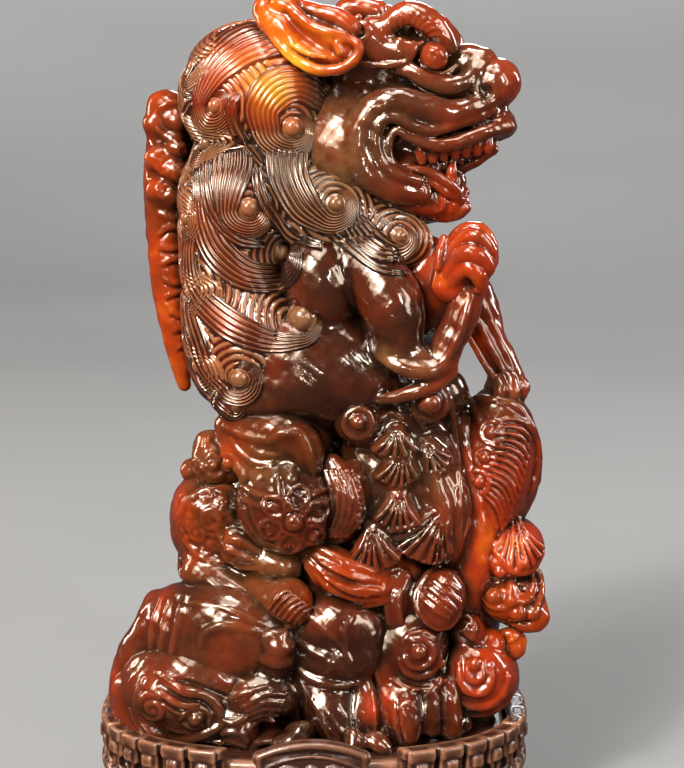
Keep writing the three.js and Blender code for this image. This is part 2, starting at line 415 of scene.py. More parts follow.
def head():
    hub, comb_ticks = (11.75, 21), []
    for i in range(12):
        angle = math.radians(172 - 15 * i)
        comb_ticks.append([(hub[0] + r * math.cos(angle - lag), hub[1] + r * math.sin(angle - lag), width)
                           for r, lag, width in ((3.6, 0.0, 0.3), (5.0, 0.08, 0.5), (6.4, 0.2, 0.42),
                                                 (7.6, 0.34, 0.3))])
    carve(
        "lion_head", ["lion_skull", "lion_snout"], "amber_dark", 0.1,
        add(ball((-2, 0, -1), (17, 13.5, 16.5))),
        add(ball((2, 0, 19), (15, 9.5, 9.5)), 4),
        add(ball((17, 0, 8), (16, 8, 6.5), (0, -4, 0)), 4),
        add(sides(ball, (-3.5, -6.5, -3.5), radii=(14.5, 9.6, 14)), 3),
        add(ball((10, 0, -8), (9, 8, 8)), 3),
        # the mouth is open from the corner of the lips forward
        cut(rope((18, 0, -3, 2.8), (31, 0, -2.5, 2.8)), 1.0),
        cut(sides(rope, (10, -11.5, -2, 3.7), (14.75, -10.5, -2.75, 3.6), (20.25, -8.5, -3, 3.4),
                  (30.5, -6, -2.5, 2.6)), 0.8),
        # the wide rolled lip, which runs from the nose round the corner of the mouth to the chin
        add(sides(rope, (29, -4.2, 9, 2.4), (24.75, -7, 7, 2.8), (20, -9.2, 6, 3.1), (14, -11, 7.25, 3.4),
                  (8, -12, 8.5, 3.6), (2.75, -12.6, 6.5, 3.8), (0, -13, 1.5, 3.8), (0.5, -13, -4.5, 3.8),
                  (3.75, -12.6, -9.25, 3.8), (9, -11.4, -12, 3.5), (13.5, -10, -12.5, 3)), 1.2),
        # flesh between the roll and the rim
        add(sides(rope, (26.5, -5.6, 5.25, 2.2), (20, -8.6, 4.25, 2.4), (14.75, -10.6, 5, 2.4),
                  (9, -11.8, 6.5, 2.4), (4, -12.6, 5.25, 2.4), (2, -12.8, 1, 2.4), (2, -12.8, -4, 2.4),
                  (4.5, -12.2, -7.75, 2.4)), 1.0),
        # the bright rim of the lips
        add(sides(rope, (29.75, -4.8, 6.5, 1.1), (25, -7.8, 4.25, 1.3), (20.25, -10.2, 2.75, 1.4),
                  (16, -11.8, 1.75, 1.4), (12, -13.2, 3, 1.4), (8.75, -14, 4.75, 1.4), (5.5, -14.6, 4, 1.5),
                  (4, -14.8, 0.5, 1.5), (4.25, -14.8, -3, 1.5), (6, -14.2, -6.25, 1.5),
                  (9.25, -13.8, -8.5, 1.4), (13.5, -12.4, -9.75, 1.3)), 0.8),
        # the band inside the rim, which ends in the beak
        add(sides(rope, (33.25, -2.6, 3, 1.6), (29.75, -5.6, 2, 1.8), (25, -8, 0.25, 1.8),
                  (20, -10, -1.5, 1.7), (15.75, -11.6, -1.25, 1.5), (11.5, -12.8, 0.25, 1.2),
                  (8.5, -13.4, 1.75, 1.1), (7, -13.6, -0.25, 1.1), (6.75, -13.6, -3.25, 1.1),
                  (8, -13, -6, 1.1), (11, -12.2, -7.75, 1.1)), 0.8),
        add(rope((25.75, 0, 5.5, 5), (30, 0, 4.25, 4), (32, 0, 3, 2.8), (31, 0, 0.75, 1.2)), 1.2),
        add(sides(ball, (29.5, -2.6, 3.5), radii=(4.4, 2.4, 3.4), turn=(0, 14, 0)), 1.0),
        # the smooth fold above the lip, with the deep crease under it
        cut(sides(rope, (9, -9.6, 15, 0.7), (12.5, -9.8, 11.75, 0.9), (16.5, -9, 9.5, 0.9),
                  (21.5, -7.4, 8.75, 0.8), (25.5, -6, 10.5, 0.6)), 0.5),
        add(sides(rope, (8.25, -9.4, 16, 1.3), (11.5, -9.6, 15.25, 2), (15, -8.8, 13.25, 2.4),
                  (19, -7.6, 12, 2.5), (22.75, -6.2, 12.75, 2.3), (25, -4.8, 14.75, 1.8)), 0.7),
        add(rope((19, 0, 16.5, 3.5), (22.5, 0, 17.75, 4.6), (26.5, 0, 17.75, 4)), 3),
        # the nose: one big round bulb, with a wing and a nostril on each side
        add(ball((30, 0, 13.25), (5.9, 5.8, 5.9)), 0.4),
        add(sides(ball, (26, -2.5, 13.75), radii=(4, 3.6, 5.5)), 1.0),
        add(sides(ball, (30, -3.6, 12.25), radii=(3.9, 3.0, 4.2)), 0.8),
        cut(sides(ball, (28.5, -6.6, 10.75), radii=(1.5, 1.4, 1.7)), 0.5),
        add(sides(rope, (27, -5.6, 7, 0.7), (26, -6.2, 10.5, 0.8), (26.25, -5.6, 14, 0.9),
                  (27.75, -4, 17.5, 0.8)), 0.4),
        # the brow: a thick arch over the eye with a hooked end behind it, combed across
        add(sides(rope, (5.5, -8.4, 23, 1.6), (5.25, -8.8, 25.5, 2.2), (7.5, -8.6, 28, 2.8),
                  (11.25, -8.4, 28.75, 3), (15, -8.2, 27, 3), (18, -7.4, 24, 2.6), (19.75, -6.4, 21.5, 2)),
            0.8),
        add(sides(rope, (5.75, -9.4, 22, 1.1), (7.5, -10, 21, 1), (8.5, -10.4, 22.5, 0.8)), 0.5),
        both(draw(*comb_ticks, blend=0.2, proud=0.7, fallback=-9)),
        # the lid's soft bulge behind the eye, and knobs of hair between the brow and the ear
        add(sides(ball, (7.25, -9.6, 20), radii=(6.6, 2.2, 2.9), turn=(0, -6, 0)), 1.6),
        add(sides(ball, (1.5, -9, 23.75), radii=(4.6, 3.0, 4.6)), 2.0),
        add(sides(coil, (-0.25, -11.4, 25), outer=3.0, inner=0.8, turns=1.3, radius=0.9, start=100), 0.5),
        add(sides(rope, (-5.25, -6, 30.25, 2.6), (-1.25, -6, 30.5, 2.8), (2.75, -6, 30, 2.4)), 1.0),
        # the thin line under the brow, and the rims round the eye
        add(sides(rope, (-1.5, -11, 17.75, 0.7), (2.75, -11.4, 17, 0.8), (7.5, -11, 17, 0.8),
                  (10.5, -10.4, 18, 0.8), (12, -9.8, 20.5, 0.8), (13.75, -9, 22, 0.7)), 0.35),
        add(sides(rope, (13.25, -8.8, 18.25, 0.8), (15.5, -8.4, 15.25, 0.9), (18.75, -7.4, 14.75, 0.9),
                  (21.25, -6, 17, 0.7)), 0.35),
        cut(sides(ball, (16.5, -9.8, 19), radii=(4.0, 1.9, 3.9)), 0.8),
        # the hollow between the cheek and the ear
        cut(sides(rope, (-8.75, -15, 12.5, 1.2), (-5.25, -14, 15.25, 1.3), (-1, -12, 16.25, 0.9)), 1.2),
        step=0.37, place=ON_HEAD,
    )
    gums = [s for i in range(9) for s in sides(
        rope, (15.0 + 1.8 * i, -7.6 + 0.82 * i, -7.8 + 0.75 * i, 1.2 - 0.05 * i),
        (15.2 + 1.8 * i, -7.7 + 0.82 * i, -6.4 + 0.7 * i, 0.95 - 0.04 * i))]
    carve(
        "lion_lower_jaw", ["lion_lower_jaw"], "amber_red", 0.35,
        add(rope((4, 0, -13, 7.5), (13, 0, -13.5, 6.6), (17.25, 0, -13.5, 5.2), (19.75, 0, -10, 3.4))),
        add(sides(rope, (4, -7, -12, 5.5), (11, -6.5, -14, 5), (18.5, -3, -15.25, 4)), 2),
        add(rope((18.25, 0, -7.25, 2.2), (24, 0, -5.75, 1.5), (29.75, 0, -2.5, 1)), 0.8),
        cut(rope((14, 0, -4.5, 3.4), (20, 0, -4.2, 2.6), (27, 0, -1, 1.6)), 1),
        add(gums, 0.4),
        add(sides(rope, (9.75, -10.4, -7.25, 1.2), (14.5, -9.6, -7.5, 1.3), (18.5, -8.2, -9.5, 1.4),
                  (22, -5.5, -12.5, 1.2)), 0.4),
        add(sides(rope, (13, -9.6, -9.5, 1), (16.75, -8.8, -10.5, 1.2), (19.75, -7, -12.75, 1.1),
                  (22.5, -3.6, -14.25, 1)), 0.35),
        add(sides(coil, (17.25, -7.4, -14.75), outer=2.6, inner=0.6, turns=1.2, radius=0.8, start=120), 0.4),
        add(sides(rope, (15.25, -5, -17.5, 1.2), (19.25, -3.6, -18, 1.6), (22.5, -2, -16.25, 1.6)), 0.6),
        add(sides(rope, (14.5, -8.6, -13.25, 0.6), (15.5, -7.4, -16, 0.8), (17.5, -5, -18.5, 0.6)), 0.3),
        step=0.34, place=ON_HEAD,
    )
    carve(
        "lion_tongue", ["lion_tongue"], "amber_red", 0.8,
        add(sides(rope, (9, -4, -5.5, 3.6), (15, -3.6, -5.0, 3.0), (21, -2.4, -3.2, 2.2),
                  (26, -1, -1.8, 1.2)), 1.0),
        cut(strand(0.35, (12, 0, -2.0), (18, 0, -1.7), (25, 0, -0.6)), 0.5),
        step=0.4, place=ON_HEAD,
    )
    teeth = []
    for i in range(7):
        f, l, u = 13.6 + 2.5 * i, -8.9 + 0.8 * i, -0.6 + 0.3 * i
        teeth += sides(rope, (f, l - 0.4, u, 1.45), (f + 0.1, l - 0.6, u - 2.6, 1.45),
                       (f + 0.2, l - 0.4, u - 4.6 + 0.16 * i, 1.15))
    teeth += sides(rope, (20.4, -6.6, -9.6, 1.4), (20.5, -6.8, -7.6, 1.3), (21.0, -6.4, -5.4, 0.5))
    carve("lion_teeth", [], "amber_red", 0.7, add(teeth, 0.12), step=0.28, place=ON_HEAD)
    for side, word in ((-1, "near"), (1, "far")):
        def at(f, l, u):
            return (f, -l * side, u)

        carve(
            f"lion_eye_{word}", [f"lion_eye_{word}"], "amber_red", 0.3,
            add(ball(at(16.25, -7.4, 19), (3.6, 3.0, 3.5))),
            add(rope(at(14.25, -8.8, 17.75) + (0.5,), at(16.5, -9, 16.5) + (0.6,),
                     at(19, -8.6, 17.5) + (0.5,)), 0.3),
            cut(ball(at(16.75, -10.6, 19.25), (1.0, 0.6, 1.0)), 0.2),
            step=0.3, place=ON_HEAD,
        )

        def line(*points):
            return rope(*[(*at(*p[:3]), p[3]) for p in points])

        carve(
            f"lion_ear_{word}", [f"lion_ear_{word}"], "amber_orange", 0.22,
            add(line((-22.75, -13, 30, 3.2), (-19.25, -13.5, 25.75, 4.6), (-13, -14, 22.75, 5.2),
                     (-7.25, -14, 20.75, 4.8), (-3.25, -14, 20.25, 3.6))),
            # the leaf is hollowed along its middle
            cut(line((-16.75, -19.5, 28.25, 2), (-12.75, -20, 24, 2.7), (-7.75, -20, 20.75, 2.6),
                     (-4.25, -19, 19.5, 1.8)), 0.7),
            # its outer edge, its curled tip, and the fold along its upper edge
            add(line((-23, -14, 32, 1.2), (-22, -15.5, 27.75, 1.2), (-19.25, -17, 22.5, 1.3),
                     (-14.25, -17.6, 18, 1.4), (-8.75, -17.8, 15.5, 1.4), (-3.5, -17.6, 16, 1.3),
                     (-0.25, -17.2, 18.25, 1.3), (0.25, -17, 21, 1.2), (-2.25, -17, 22.5, 1.1),
                     (-4.5, -17.4, 21.75, 1), (-4, -17.6, 19.5, 0.9)), 0.6),
            add(line((-18.5, -14, 32.5, 1.7), (-14.5, -16.4, 28.5, 1.6), (-10.75, -17.2, 25.5, 1.3),
                     (-6.5, -17.6, 24, 1.2), (-3, -17.2, 23.25, 1)), 0.6),
            add(line((-14.75, -12, 30.75, 1.6), (-10.25, -13, 29.25, 2), (-5.5, -13, 27.75, 2.4),
                     (-2.25, -13, 25.5, 2.4)), 1.0),
            add(line((-15.5, -18.6, 21.5, 0.5), (-11.25, -18.8, 19.25, 0.7), (-7, -18.8, 18.25, 0.5)), 0.3),
            # the pale tuft at its root
            add(ball(at(-18, -14, 30.5), (3.4, 3.4, 3.0)), 1.0),
            add(ball(at(-22, -12, 33.25), (2.6, 3.0, 2.6)), 1.0),
            step=0.36, place=ON_HEAD,
        )


# ---- the lion's body and limbs ----
def body():
    carve(
        "lion_body", ["lion_torso", "lion_haunch_near", "lion_haunch_far", "raised_foreleg"], "amber_dark",
        0.0,
        add(ball((6, -1, 129), (24, 14, 26))),
        add(ball((1, -11, 116), (23, 13.5, 15), (0, 12, 0)), 3),
        add(ball((1, 10, 116), (23, 13.5, 15), (0, 12, 0)), 3),
        add(rope((-17.5, -15, 108.5, 6), (-5.5, -17, 110.5, 7), (4, -17, 115, 7)), 3),
        # shoulder, upper arm and forearm of the raised leg
        add(ball((2, -14, 136), (9, 10, 12), (0, -12, 0)), 2.5),
        add(ball((2, 14, 134), (9, 9, 12), (0, -12, 0)), 2.5),
        add(rope((6.5, -12, 143, 7), (14, -17, 138.5, 7.5), (18.5, -20, 131.5, 7.6), (20, -20, 124.5, 6)),
            1.6),
        cut(strand(0.7, (9, -27, 135), (10, -26, 128.5), (9, -24, 122.5)), 1.5),
        add(rope((18.5, -20, 122, 5), (24, -21, 118.5, 4.4), (29, -21, 117.5, 4.2), (31.5, -21, 122.5, 3.9),
                 (34.5, -21, 128.5, 3.9), (36, -20, 135, 4.4)), 1.6),
        # tendons along the forearm and the fringe at the elbow
        add(rope((29.5, -24.5, 117.5, 0.8), (32.5, -25, 122, 1), (35, -25, 128.5, 1),
                 (36.5, -24, 134, 0.8)), 0.8),
        add(rope((15.5, -21, 120.5, 1), (18.5, -24, 118.5, 1.8), (22.5, -25, 117, 2), (27, -25, 116.5, 1.8),
                 (31, -24, 118, 1.2)), 1.4),
        add(rope((32.5, -22, 116, 1.4), (28, -23, 113, 1.8), (22, -23, 111, 1.8), (16, -21, 109.5, 1.2)),
            1.4),
        # chest between the raised paw and the throat
        add(ball((27, -8, 135.5), (8, 8, 12)), 3),
        # belly
        add(rope((7.5, -8, 107.5, 8), (21, -6, 107.5, 8), (31, -4, 108.5, 7)), 3),
        step=0.5,
    )
    carve(
        "raised_forepaw", ["raised_forepaw"], "amber_red", 0.45,
        add(rope((32.5, -20, 136, 4.6), (34, -20, 140, 5.4), (35.5, -20, 143, 6))),
        add(rope((32, -23, 141.5, 1.8), (34.5, -24.5, 146.5, 2.1), (37.5, -26, 147.5, 2.2),
                 (40.5, -25.5, 144.5, 2), (41, -24, 141.5, 1.2)), 0.5),
        add(rope((32, -24, 139.5, 1.8), (34.5, -26.5, 143.5, 2.1), (37.5, -27.5, 143.5, 2.2),
                 (40, -26, 141, 1.9), (40, -24.5, 138.5, 1.1)), 0.5),
        add(rope((32, -23.5, 137, 1.7), (35, -26.5, 140.5, 2), (37.5, -27, 139.5, 2.1),
                 (39, -25, 136.5, 1.7), (38, -24, 135.5, 1)), 0.5),
        add(rope((32, -19, 144, 1.9), (34.5, -19.5, 148, 2.2), (38.5, -20, 148.5, 2.3), (41, -20, 145.5, 2),
                 (42, -19.5, 142.5, 1.2)), 0.6),
        add(rope((32, -15, 144, 1.9), (35, -15, 147.5, 2.2), (39.5, -15, 147.5, 2.2), (42, -15, 143.5, 1.8),
                 (42, -16, 140.5, 1.2)), 0.6),
        add(rope((30.5, -21, 147, 1), (29.5, -23, 144, 1.1), (29, -23.5, 140.5, 0.9)), 0.5),
        step=0.38,
    )
    carve(
        "reaching_foreleg", ["reaching_foreleg", "reaching_forepaw"], "amber_red", 0.3,
        add(rope((26, 6, 134, 7.5), (36, 4, 135, 6), (40.5, 3, 128.5, 5.4), (42.5, 2, 122.5, 4.6),
                 (46, 1, 116, 4.2), (48, 1, 111.5, 4.2))),
        add(ball((47, 0, 109), (5.2, 5.8, 4.6)), 1.5),
        add([rope((37.5, -3, 123, 0.7), (40.5, -3.6, 118, 1), (44, -4.2, 112.5, 0.9)),
             rope((39.5, -2, 127, 0.8), (43, -2.6, 120.5, 1), (46.5, -3.2, 114, 0.9)),
             rope((41, -1, 131, 0.8), (44.5, -1.4, 123.5, 1.1), (48.5, -2, 114.5, 0.9))], 0.7),
        add([rope((45, -4, 112, 1.7), (45.5, -6, 109.5, 1.9), (45, -6, 106.5, 1.1)),
             rope((47.5, -3.5, 112.5, 1.7), (48.5, -5.5, 109.5, 1.9), (48, -5.5, 106.5, 1)),
             rope((49.5, -1, 112, 1.7), (51, -2, 110, 1.8), (51, -2.5, 107, 1)),
             rope((50, 3, 111.5, 1.7), (52, 3, 109.5, 1.8), (51.5, 3, 106.5, 1))], 0.5),
        step=0.4,
    )
    folds = [[(-37.5, 147.5, 0.5), (-34.75, 149.25, 0.9), (-31, 148.5, 0.6)],
             [(-37.25, 144.25, 0.5), (-34, 144, 0.8), (-29.75, 145.25, 0.6)],
             [(-37, 140.25, 0.5), (-33.5, 141.5, 1), (-30.25, 140.5, 0.6)],
             [(-36.5, 136.5, 0.4), (-33.5, 135.5, 0.8), (-29.75, 137, 0.6)],
             [(-36, 132.25, 0.5), (-33, 133.25, 0.8), (-30, 132.25, 0.5)],
             [(-35.25, 128.5, 0.4), (-32.75, 127.5, 0.9), (-30, 128.5, 0.5)],
             [(-34.5, 123.75, 0.4), (-32.25, 124.25, 0.7), (-29.5, 123.5, 0.5)],
             [(-33.5, 119.5, 0.4), (-31.75, 120, 0.6), (-29.5, 119, 0.4)]]
    carve(
        "lion_tail", ["lion_tail"], "amber_orange", 0.3,
        add(rope((-32.5, 6, 109.5, 1.6), (-33.5, 5, 115.5, 2.5), (-35, 4, 125.5, 3.4), (-36, 4, 135.5, 4.2),
                 (-36, 4, 145.5, 5), (-36, 4, 155.5, 5.6), (-36, 4, 164, 5.5), (-36, 4, 170, 4.6),
                 (-36, 4, 176.5, 4.8))),
        add(rope((-32, 7, 117.5, 2.2), (-32, 7, 131, 3.4), (-32, 7, 145.5, 4.2), (-31.5, 7, 158, 4.4),
                 (-32, 7, 168, 4), (-32.5, 7, 174, 3.4)), 2.5),
        add([ball((-36, 4, 178.5), (4.6, 4.8, 3.8)), ball((-38.5, 2, 174), (3.0, 3.4, 3.0)),
             ball((-33, 1, 174.5), (3.0, 3.4, 3.0))], 1.2),
        # knobs and small curls in the swollen part
        add([ball((-38, -1, 165.5), (3.0, 2.6, 2.8)), ball((-33.5, -1.4, 162.5), (3.2, 2.6, 3.0)),
             ball((-38, -1, 158), (2.8, 2.4, 2.6)),
             ball((-33.5, -1, 168), (2.6, 2.4, 2.4)), ball((-34.5, -1.4, 156.5), (2.8, 2.4, 2.4))], 1.0),
        fill(1.2, 0.1),
        draw(ring(-35.5, 164.25, 2.3, 0.7, 0.6, 1.4, 200), ring(-31.5, 161.75, 2.6, 0.7, 0.6, 1.4, 20),
             ring(-35.75, 158, 2.2, 0.7, 0.6, 1.3, 120), ring(-31.5, 167.25, 2.0, 0.6, 0.5, 1.2, 300),
             blend=0.5, proud=0.6,
             fallback=0),
        draw([(-37.25, 172.25, 0.7), (-35, 170.75, 1), (-31.75, 171, 1), (-29.5, 172.75, 0.7)],
             [(-36.75, 177.75, 0.5), (-34, 179, 0.8), (-30.75, 177.75, 0.5)],
             [(-37.5, 152.5, 0.6), (-34.25, 151.5, 0.9), (-30.5, 152.5, 0.7)], blend=0.7, fallback=0),
        # uneven folds across the strap below
        draw(*folds, blend=0.8, proud=0.55, fallback=0),
        scratch(*[[(x, z - 1.3, 0.3) for x, z, _ in fold] for fold in folds], blend=0.4, fallback=0),
        draw(*folds, blend=0.8, proud=0.55, fallback=8, behind=True),
        *scrolls([(-35.5, 164.25, 2.6, 200, 1), (-31.5, 160.5, 2.6, 20, -1), (-35.5, 156, 2.4, 120, 1),
                  (-32.25, 170.75, 2.4, 300, -1)], 0.7, 8),
        step=0.42,
    )


# ---- the mane: a base that fills between the locks, and closed combed ribbons that end in curls ----
def mane_base():
    base = add(ball((-14, -1, 180.5), (17.5, 18.5, 17)))
    base += add(ball((-17, -1, 155), (15, 20.5, 17)), 6)
    base += add(ball((-15, -1, 122), (16, 22.5, 22), (0, -8, 0)), 6)
    base += add(ball((-19, -1, 140), (12.5, 19, 20)), 5)
    base += add(ball((-6, 0, 165), (11, 15.5, 18)), 6)
    for y, turn in ((-13, 25), (10, 25)):
        base += add(ball((4, y, 152), (13, 6.5, 10), (0, turn, 0)), 4)
        base += add(ball((19, y * 0.9, 147), (10, 6.5, 7), (0, turn, 0)), 4)
    return carve(
        "mane_base", ["mane_crown", "mane_nape", "mane_back", "mane_ruff_near", "mane_ruff_far"],
        "amber_hair", 0.0, base, step=0.52, hair=0.6,
    )


def comb_base(tree):
    """Combs the base between the locks, in rings about the nearest ball of hair."""
    balls = []
    for plan in LOCKS.values():
        for y_side in (-1, 1):
            if plan[0]:
                x, z = plan[0]
                balls.append(tree.ray_cast(Vector((x, y_side * 260, z)), Vector((0, -y_side, 0)))[0])
    for plan in BACK_LOCKS:
        y, z = plan[0]
        balls.append(tree.ray_cast(Vector((-260, y, z)), Vector((1, 0, 0)))[0])
    balls = np.array([b for b in balls if b is not None])
    base = next(p for p in PIECES if p["name"] == "mane_base")
    v = base["v"]
    n = normals_of(v, base["quads"])
    away = np.full(len(v), 99.0)
    for at in balls:
        away = np.minimum(away, np.linalg.norm(v - at, axis=1))
    base["v"] = v + n * (0.34 * np.cos(2 * math.pi * away / 1.75))[:, None]


class Ribbon:
    """The plan of one lock: a band that comes in along its tail and winds round its ball."""

    def __init__(self, ball, radius, start, sweep, widths, tail, sense=1):
        steps = max(14, int(abs(sweep) / 10)) if sweep else 0
        middle, out, width = np.zeros((0, 2)), np.zeros((0, 2)), np.zeros(0)
        if sweep:
            s = np.linspace(0, 1, steps)
            angle = np.radians(start + sense * sweep * s)
            out = np.stack([np.cos(angle), np.sin(angle)], 1)
            width = np.interp(s, np.linspace(0, 1, len(widths)), widths)
            middle = np.array(ball) + (radius + width / 2)[:, None] * out
        knots = np.array([(*p[:2], p[2]) for p in tail] + [(*m, w) for m, w in zip(middle[::3], width[::3])])
        tail_line = smooth_line(knots, 9)[: (len(tail) if sweep else len(tail) - 1) * 9 + (0 if sweep else 1)]
        along = np.gradient(np.vstack([tail_line[:, :2], middle[:2]]), axis=0)[: len(tail_line)]
        along /= np.maximum(np.linalg.norm(along, axis=1), 1e-9)[:, None]
        across = sense * np.stack([along[:, 1], -along[:, 0]], 1)
        self.ball, self.radius = (None if ball is None else np.array(ball, float)), radius
        self.middle = np.vstack([tail_line[:, :2], middle])
        self.across = np.vstack([across, out])
        self.width = np.concatenate([tail_line[:, 2], width])


# Each lock: its ball (x, z) and the ball's radius, where on the ball its band starts and how far it winds, in
# degrees, how wide the band is as it winds, and the tail that leads to it as (x, z, width).
LOCKS = {
    "crown": ((-22.5, 177.5), 1.9, 175, 300, (3.5, 6.6, 4.6, 2.4, 0.7),
              [(-6, 195, 11.5), (-11.5, 193.5, 12), (-16.5, 191.5, 12), (-21.5, 187.5, 10.5),
               (-24.5, 182.5, 7)]),
    "temple": ((-4.5, 172.5), 2.5, 185, 270, (7.5, 4.8, 2.4, 0.7),
               [(6, 177, 8), (2, 180, 8.5), (-3, 182.5, 9), (-8, 181.5, 10), (-11.5, 177, 9)]),
    "nape": ((-14.5, 154), 2.3, 190, 260, (6, 5, 3, 0.9),
             [(-18.5, 168.5, 9.5), (-18.5, 163.5, 10.5), (-19.5, 158, 8.5)]),
    "jaw": ((5.5, 155), 2.2, 240, 215, (5.6, 3.8, 2.2, 0.7),
            [(-5.5, 169, 10), (-6, 164.5, 10.5), (-5, 159.5, 10), (-1.5, 154, 9)]),
    "throat": ((20.5, 147.5), 1.7, 250, 170, (5.0, 3.4, 2, 0.7),
               [(9, 151.5, 6), (12, 147.5, 7.5), (16, 144.5, 6.5)]),
    "beard": (None, 0, 0, 0, (), [(2.5, 149.5, 3), (9, 144.5, 3), (15.5, 140, 2.5), (21.5, 139, 1.5)]),
    "shoulder": ((-7.5, 143.5), 2.5, 265, 190, (7.0, 4.0, 2.2, 0.7),
                 [(-26, 165, 3.5), (-25.5, 157, 4.5), (-24.5, 150, 7.5), (-21.5, 143.5, 8.5),
                  (-15.5, 138.5, 8)]),
    "flank": ((-2.5, 128.5), 3.6, 262, 130, (3.8, 2.6, 1.4, 0.6),
              [(-27.5, 151, 3), (-29, 143, 4.5), (-28, 135.5, 6.5), (-22.5, 129.5, 8), (-15, 125, 7.5),
               (-8.5, 123, 5.5)]),
    "hip": ((-17, 114.5), 2.5, 235, 240, (4.6, 4.0, 3.0, 0.8),
            [(-29.5, 135, 4), (-29.5, 128, 6.5), (-27.5, 121.5, 7.5), (-25, 115.5, 6.5)]),
    "loin": ((-18, 108), 1.3, 250, 140, (2.6, 1.8, 0.7),
             [(-30, 120.5, 2.5), (-29.5, 115.5, 3.5), (-27, 111, 3.5), (-23, 108.5, 3)]),
    "crest": ((-28, 182), 1.1, 150, 240, (2.6, 2.2, 1.4, 0.6),
              [(-22.5, 191, 3), (-25.5, 189, 3), (-28, 186.5, 3)]),
    "collar": ((-29.5, 173), 1.3, 170, 250, (2.8, 2.6, 1.6, 0.6), [(-26.5, 179.5, 2.5), (-29, 177.5, 3)]),
    "between": (None, 0, 0, 0, (), [(-17.5, 180.5, 3.5), (-18.5, 176.5, 3.5), (-17.5, 172, 4),
                                    (-14.5, 167.5, 3.5), (-11.5, 163.5, 2)]),
    "under_jaw": (None, 0, 0, 0, (), [(-13, 165, 2.5), (-12.5, 159, 3.5), (-10, 153, 4), (-4.5, 147.5, 3.5),
                                      (2.5, 145, 2)]),
    "under_nape": (None, 0, 0, 0, (), [(-24.5, 167.5, 2.5), (-24.5, 160.5, 3.5), (-22.5, 152.5, 3.5),
                                       (-17.5, 147, 3.5), (-11.5, 145.5, 2)]),
}
# Locks seen from behind, in (y, z), and which way they wind.
BACK_LOCKS = []
for row, z_ball in enumerate((187.0, 169.0, 151.5, 134.0, 116.5)):
    for y_side in (-1, 1):
        y_ball = y_side * (9.0 + 0.9 * row) - 1.0
        BACK_LOCKS.append((
            (y_ball, z_ball), 2.1, 90 + y_side * -90 + y_side * 20, 270, (5.6, 4.6, 3.0, 0.8),
            [(y_ball - y_side * 5.0, z_ball + 17, 7), (y_ball - y_side * 7.5, z_ball + 12, 8.5),
             (y_ball - y_side * 6.6, z_ball + 5.5, 7.5)], -y_side))
# Locks on the top of the mane, between the ears, in (x, y).
TOP_LOCKS = [
    ((-12.0, y_side * 6.5 - 1), 1.8, 90 - y_side * 60, 270, (4.6, 3.8, 2.6, 0.8),
     [(4.0, y_side * 3.0 - 1, 5), (-3.0, y_side * 3.5 - 1, 6.5), (-8.0, y_side * 3.0 - 1, 5.5)],
     y_side) for y_side in (-1, 1)
]
RIDGE = 1.3  # width of one combed strand
SUNK = 1.6  # how far a lock's underside is sunk into the base


def lid(first, count, order):
    """Quads that close an even ring of points."""
    loop = [first + i for i in range(count)][::order]
    return [(loop[i], loop[i + 1], loop[count - 2 - i], loop[count - 1 - i]) for i in range(count // 2 - 1)]


def dome(centre, normal, radius, grain):
    """A closed ball of hair at the middle of a curl, with a grooved ring round it."""
    n = Vector(normal)
    u = n.orthogonal().normalized()
    v = n.cross(u)
    profile = [(1.0, -0.9), (1.32, -0.4), (1.36, 0.02), (1.22, 0.26), (1.05, 0.2), (1.0, 0.32), (0.9, 0.55),
               (0.68, 0.83), (0.36, 0.97), (0.12, 1.0)]
    verts, quads = [], []
    count = 26
    for r, h in profile:
        for i in range(count):
            angle = 2 * math.pi * i / count
            spoke = u * math.cos(angle) + v * math.sin(angle)
            verts.append(np.array(centre) + radius * (r * spoke + n * h * grain))
    rows = len(profile)
    for row in range(rows - 1):
        for i in range(count):
            j = (i + 1) % count
            quads.append((row * count + i, row * count + j, (row + 1) * count + j, (row + 1) * count + i))
    quads += lid(0, count, -1) + lid((rows - 1) * count, count, 1)
    return verts, quads


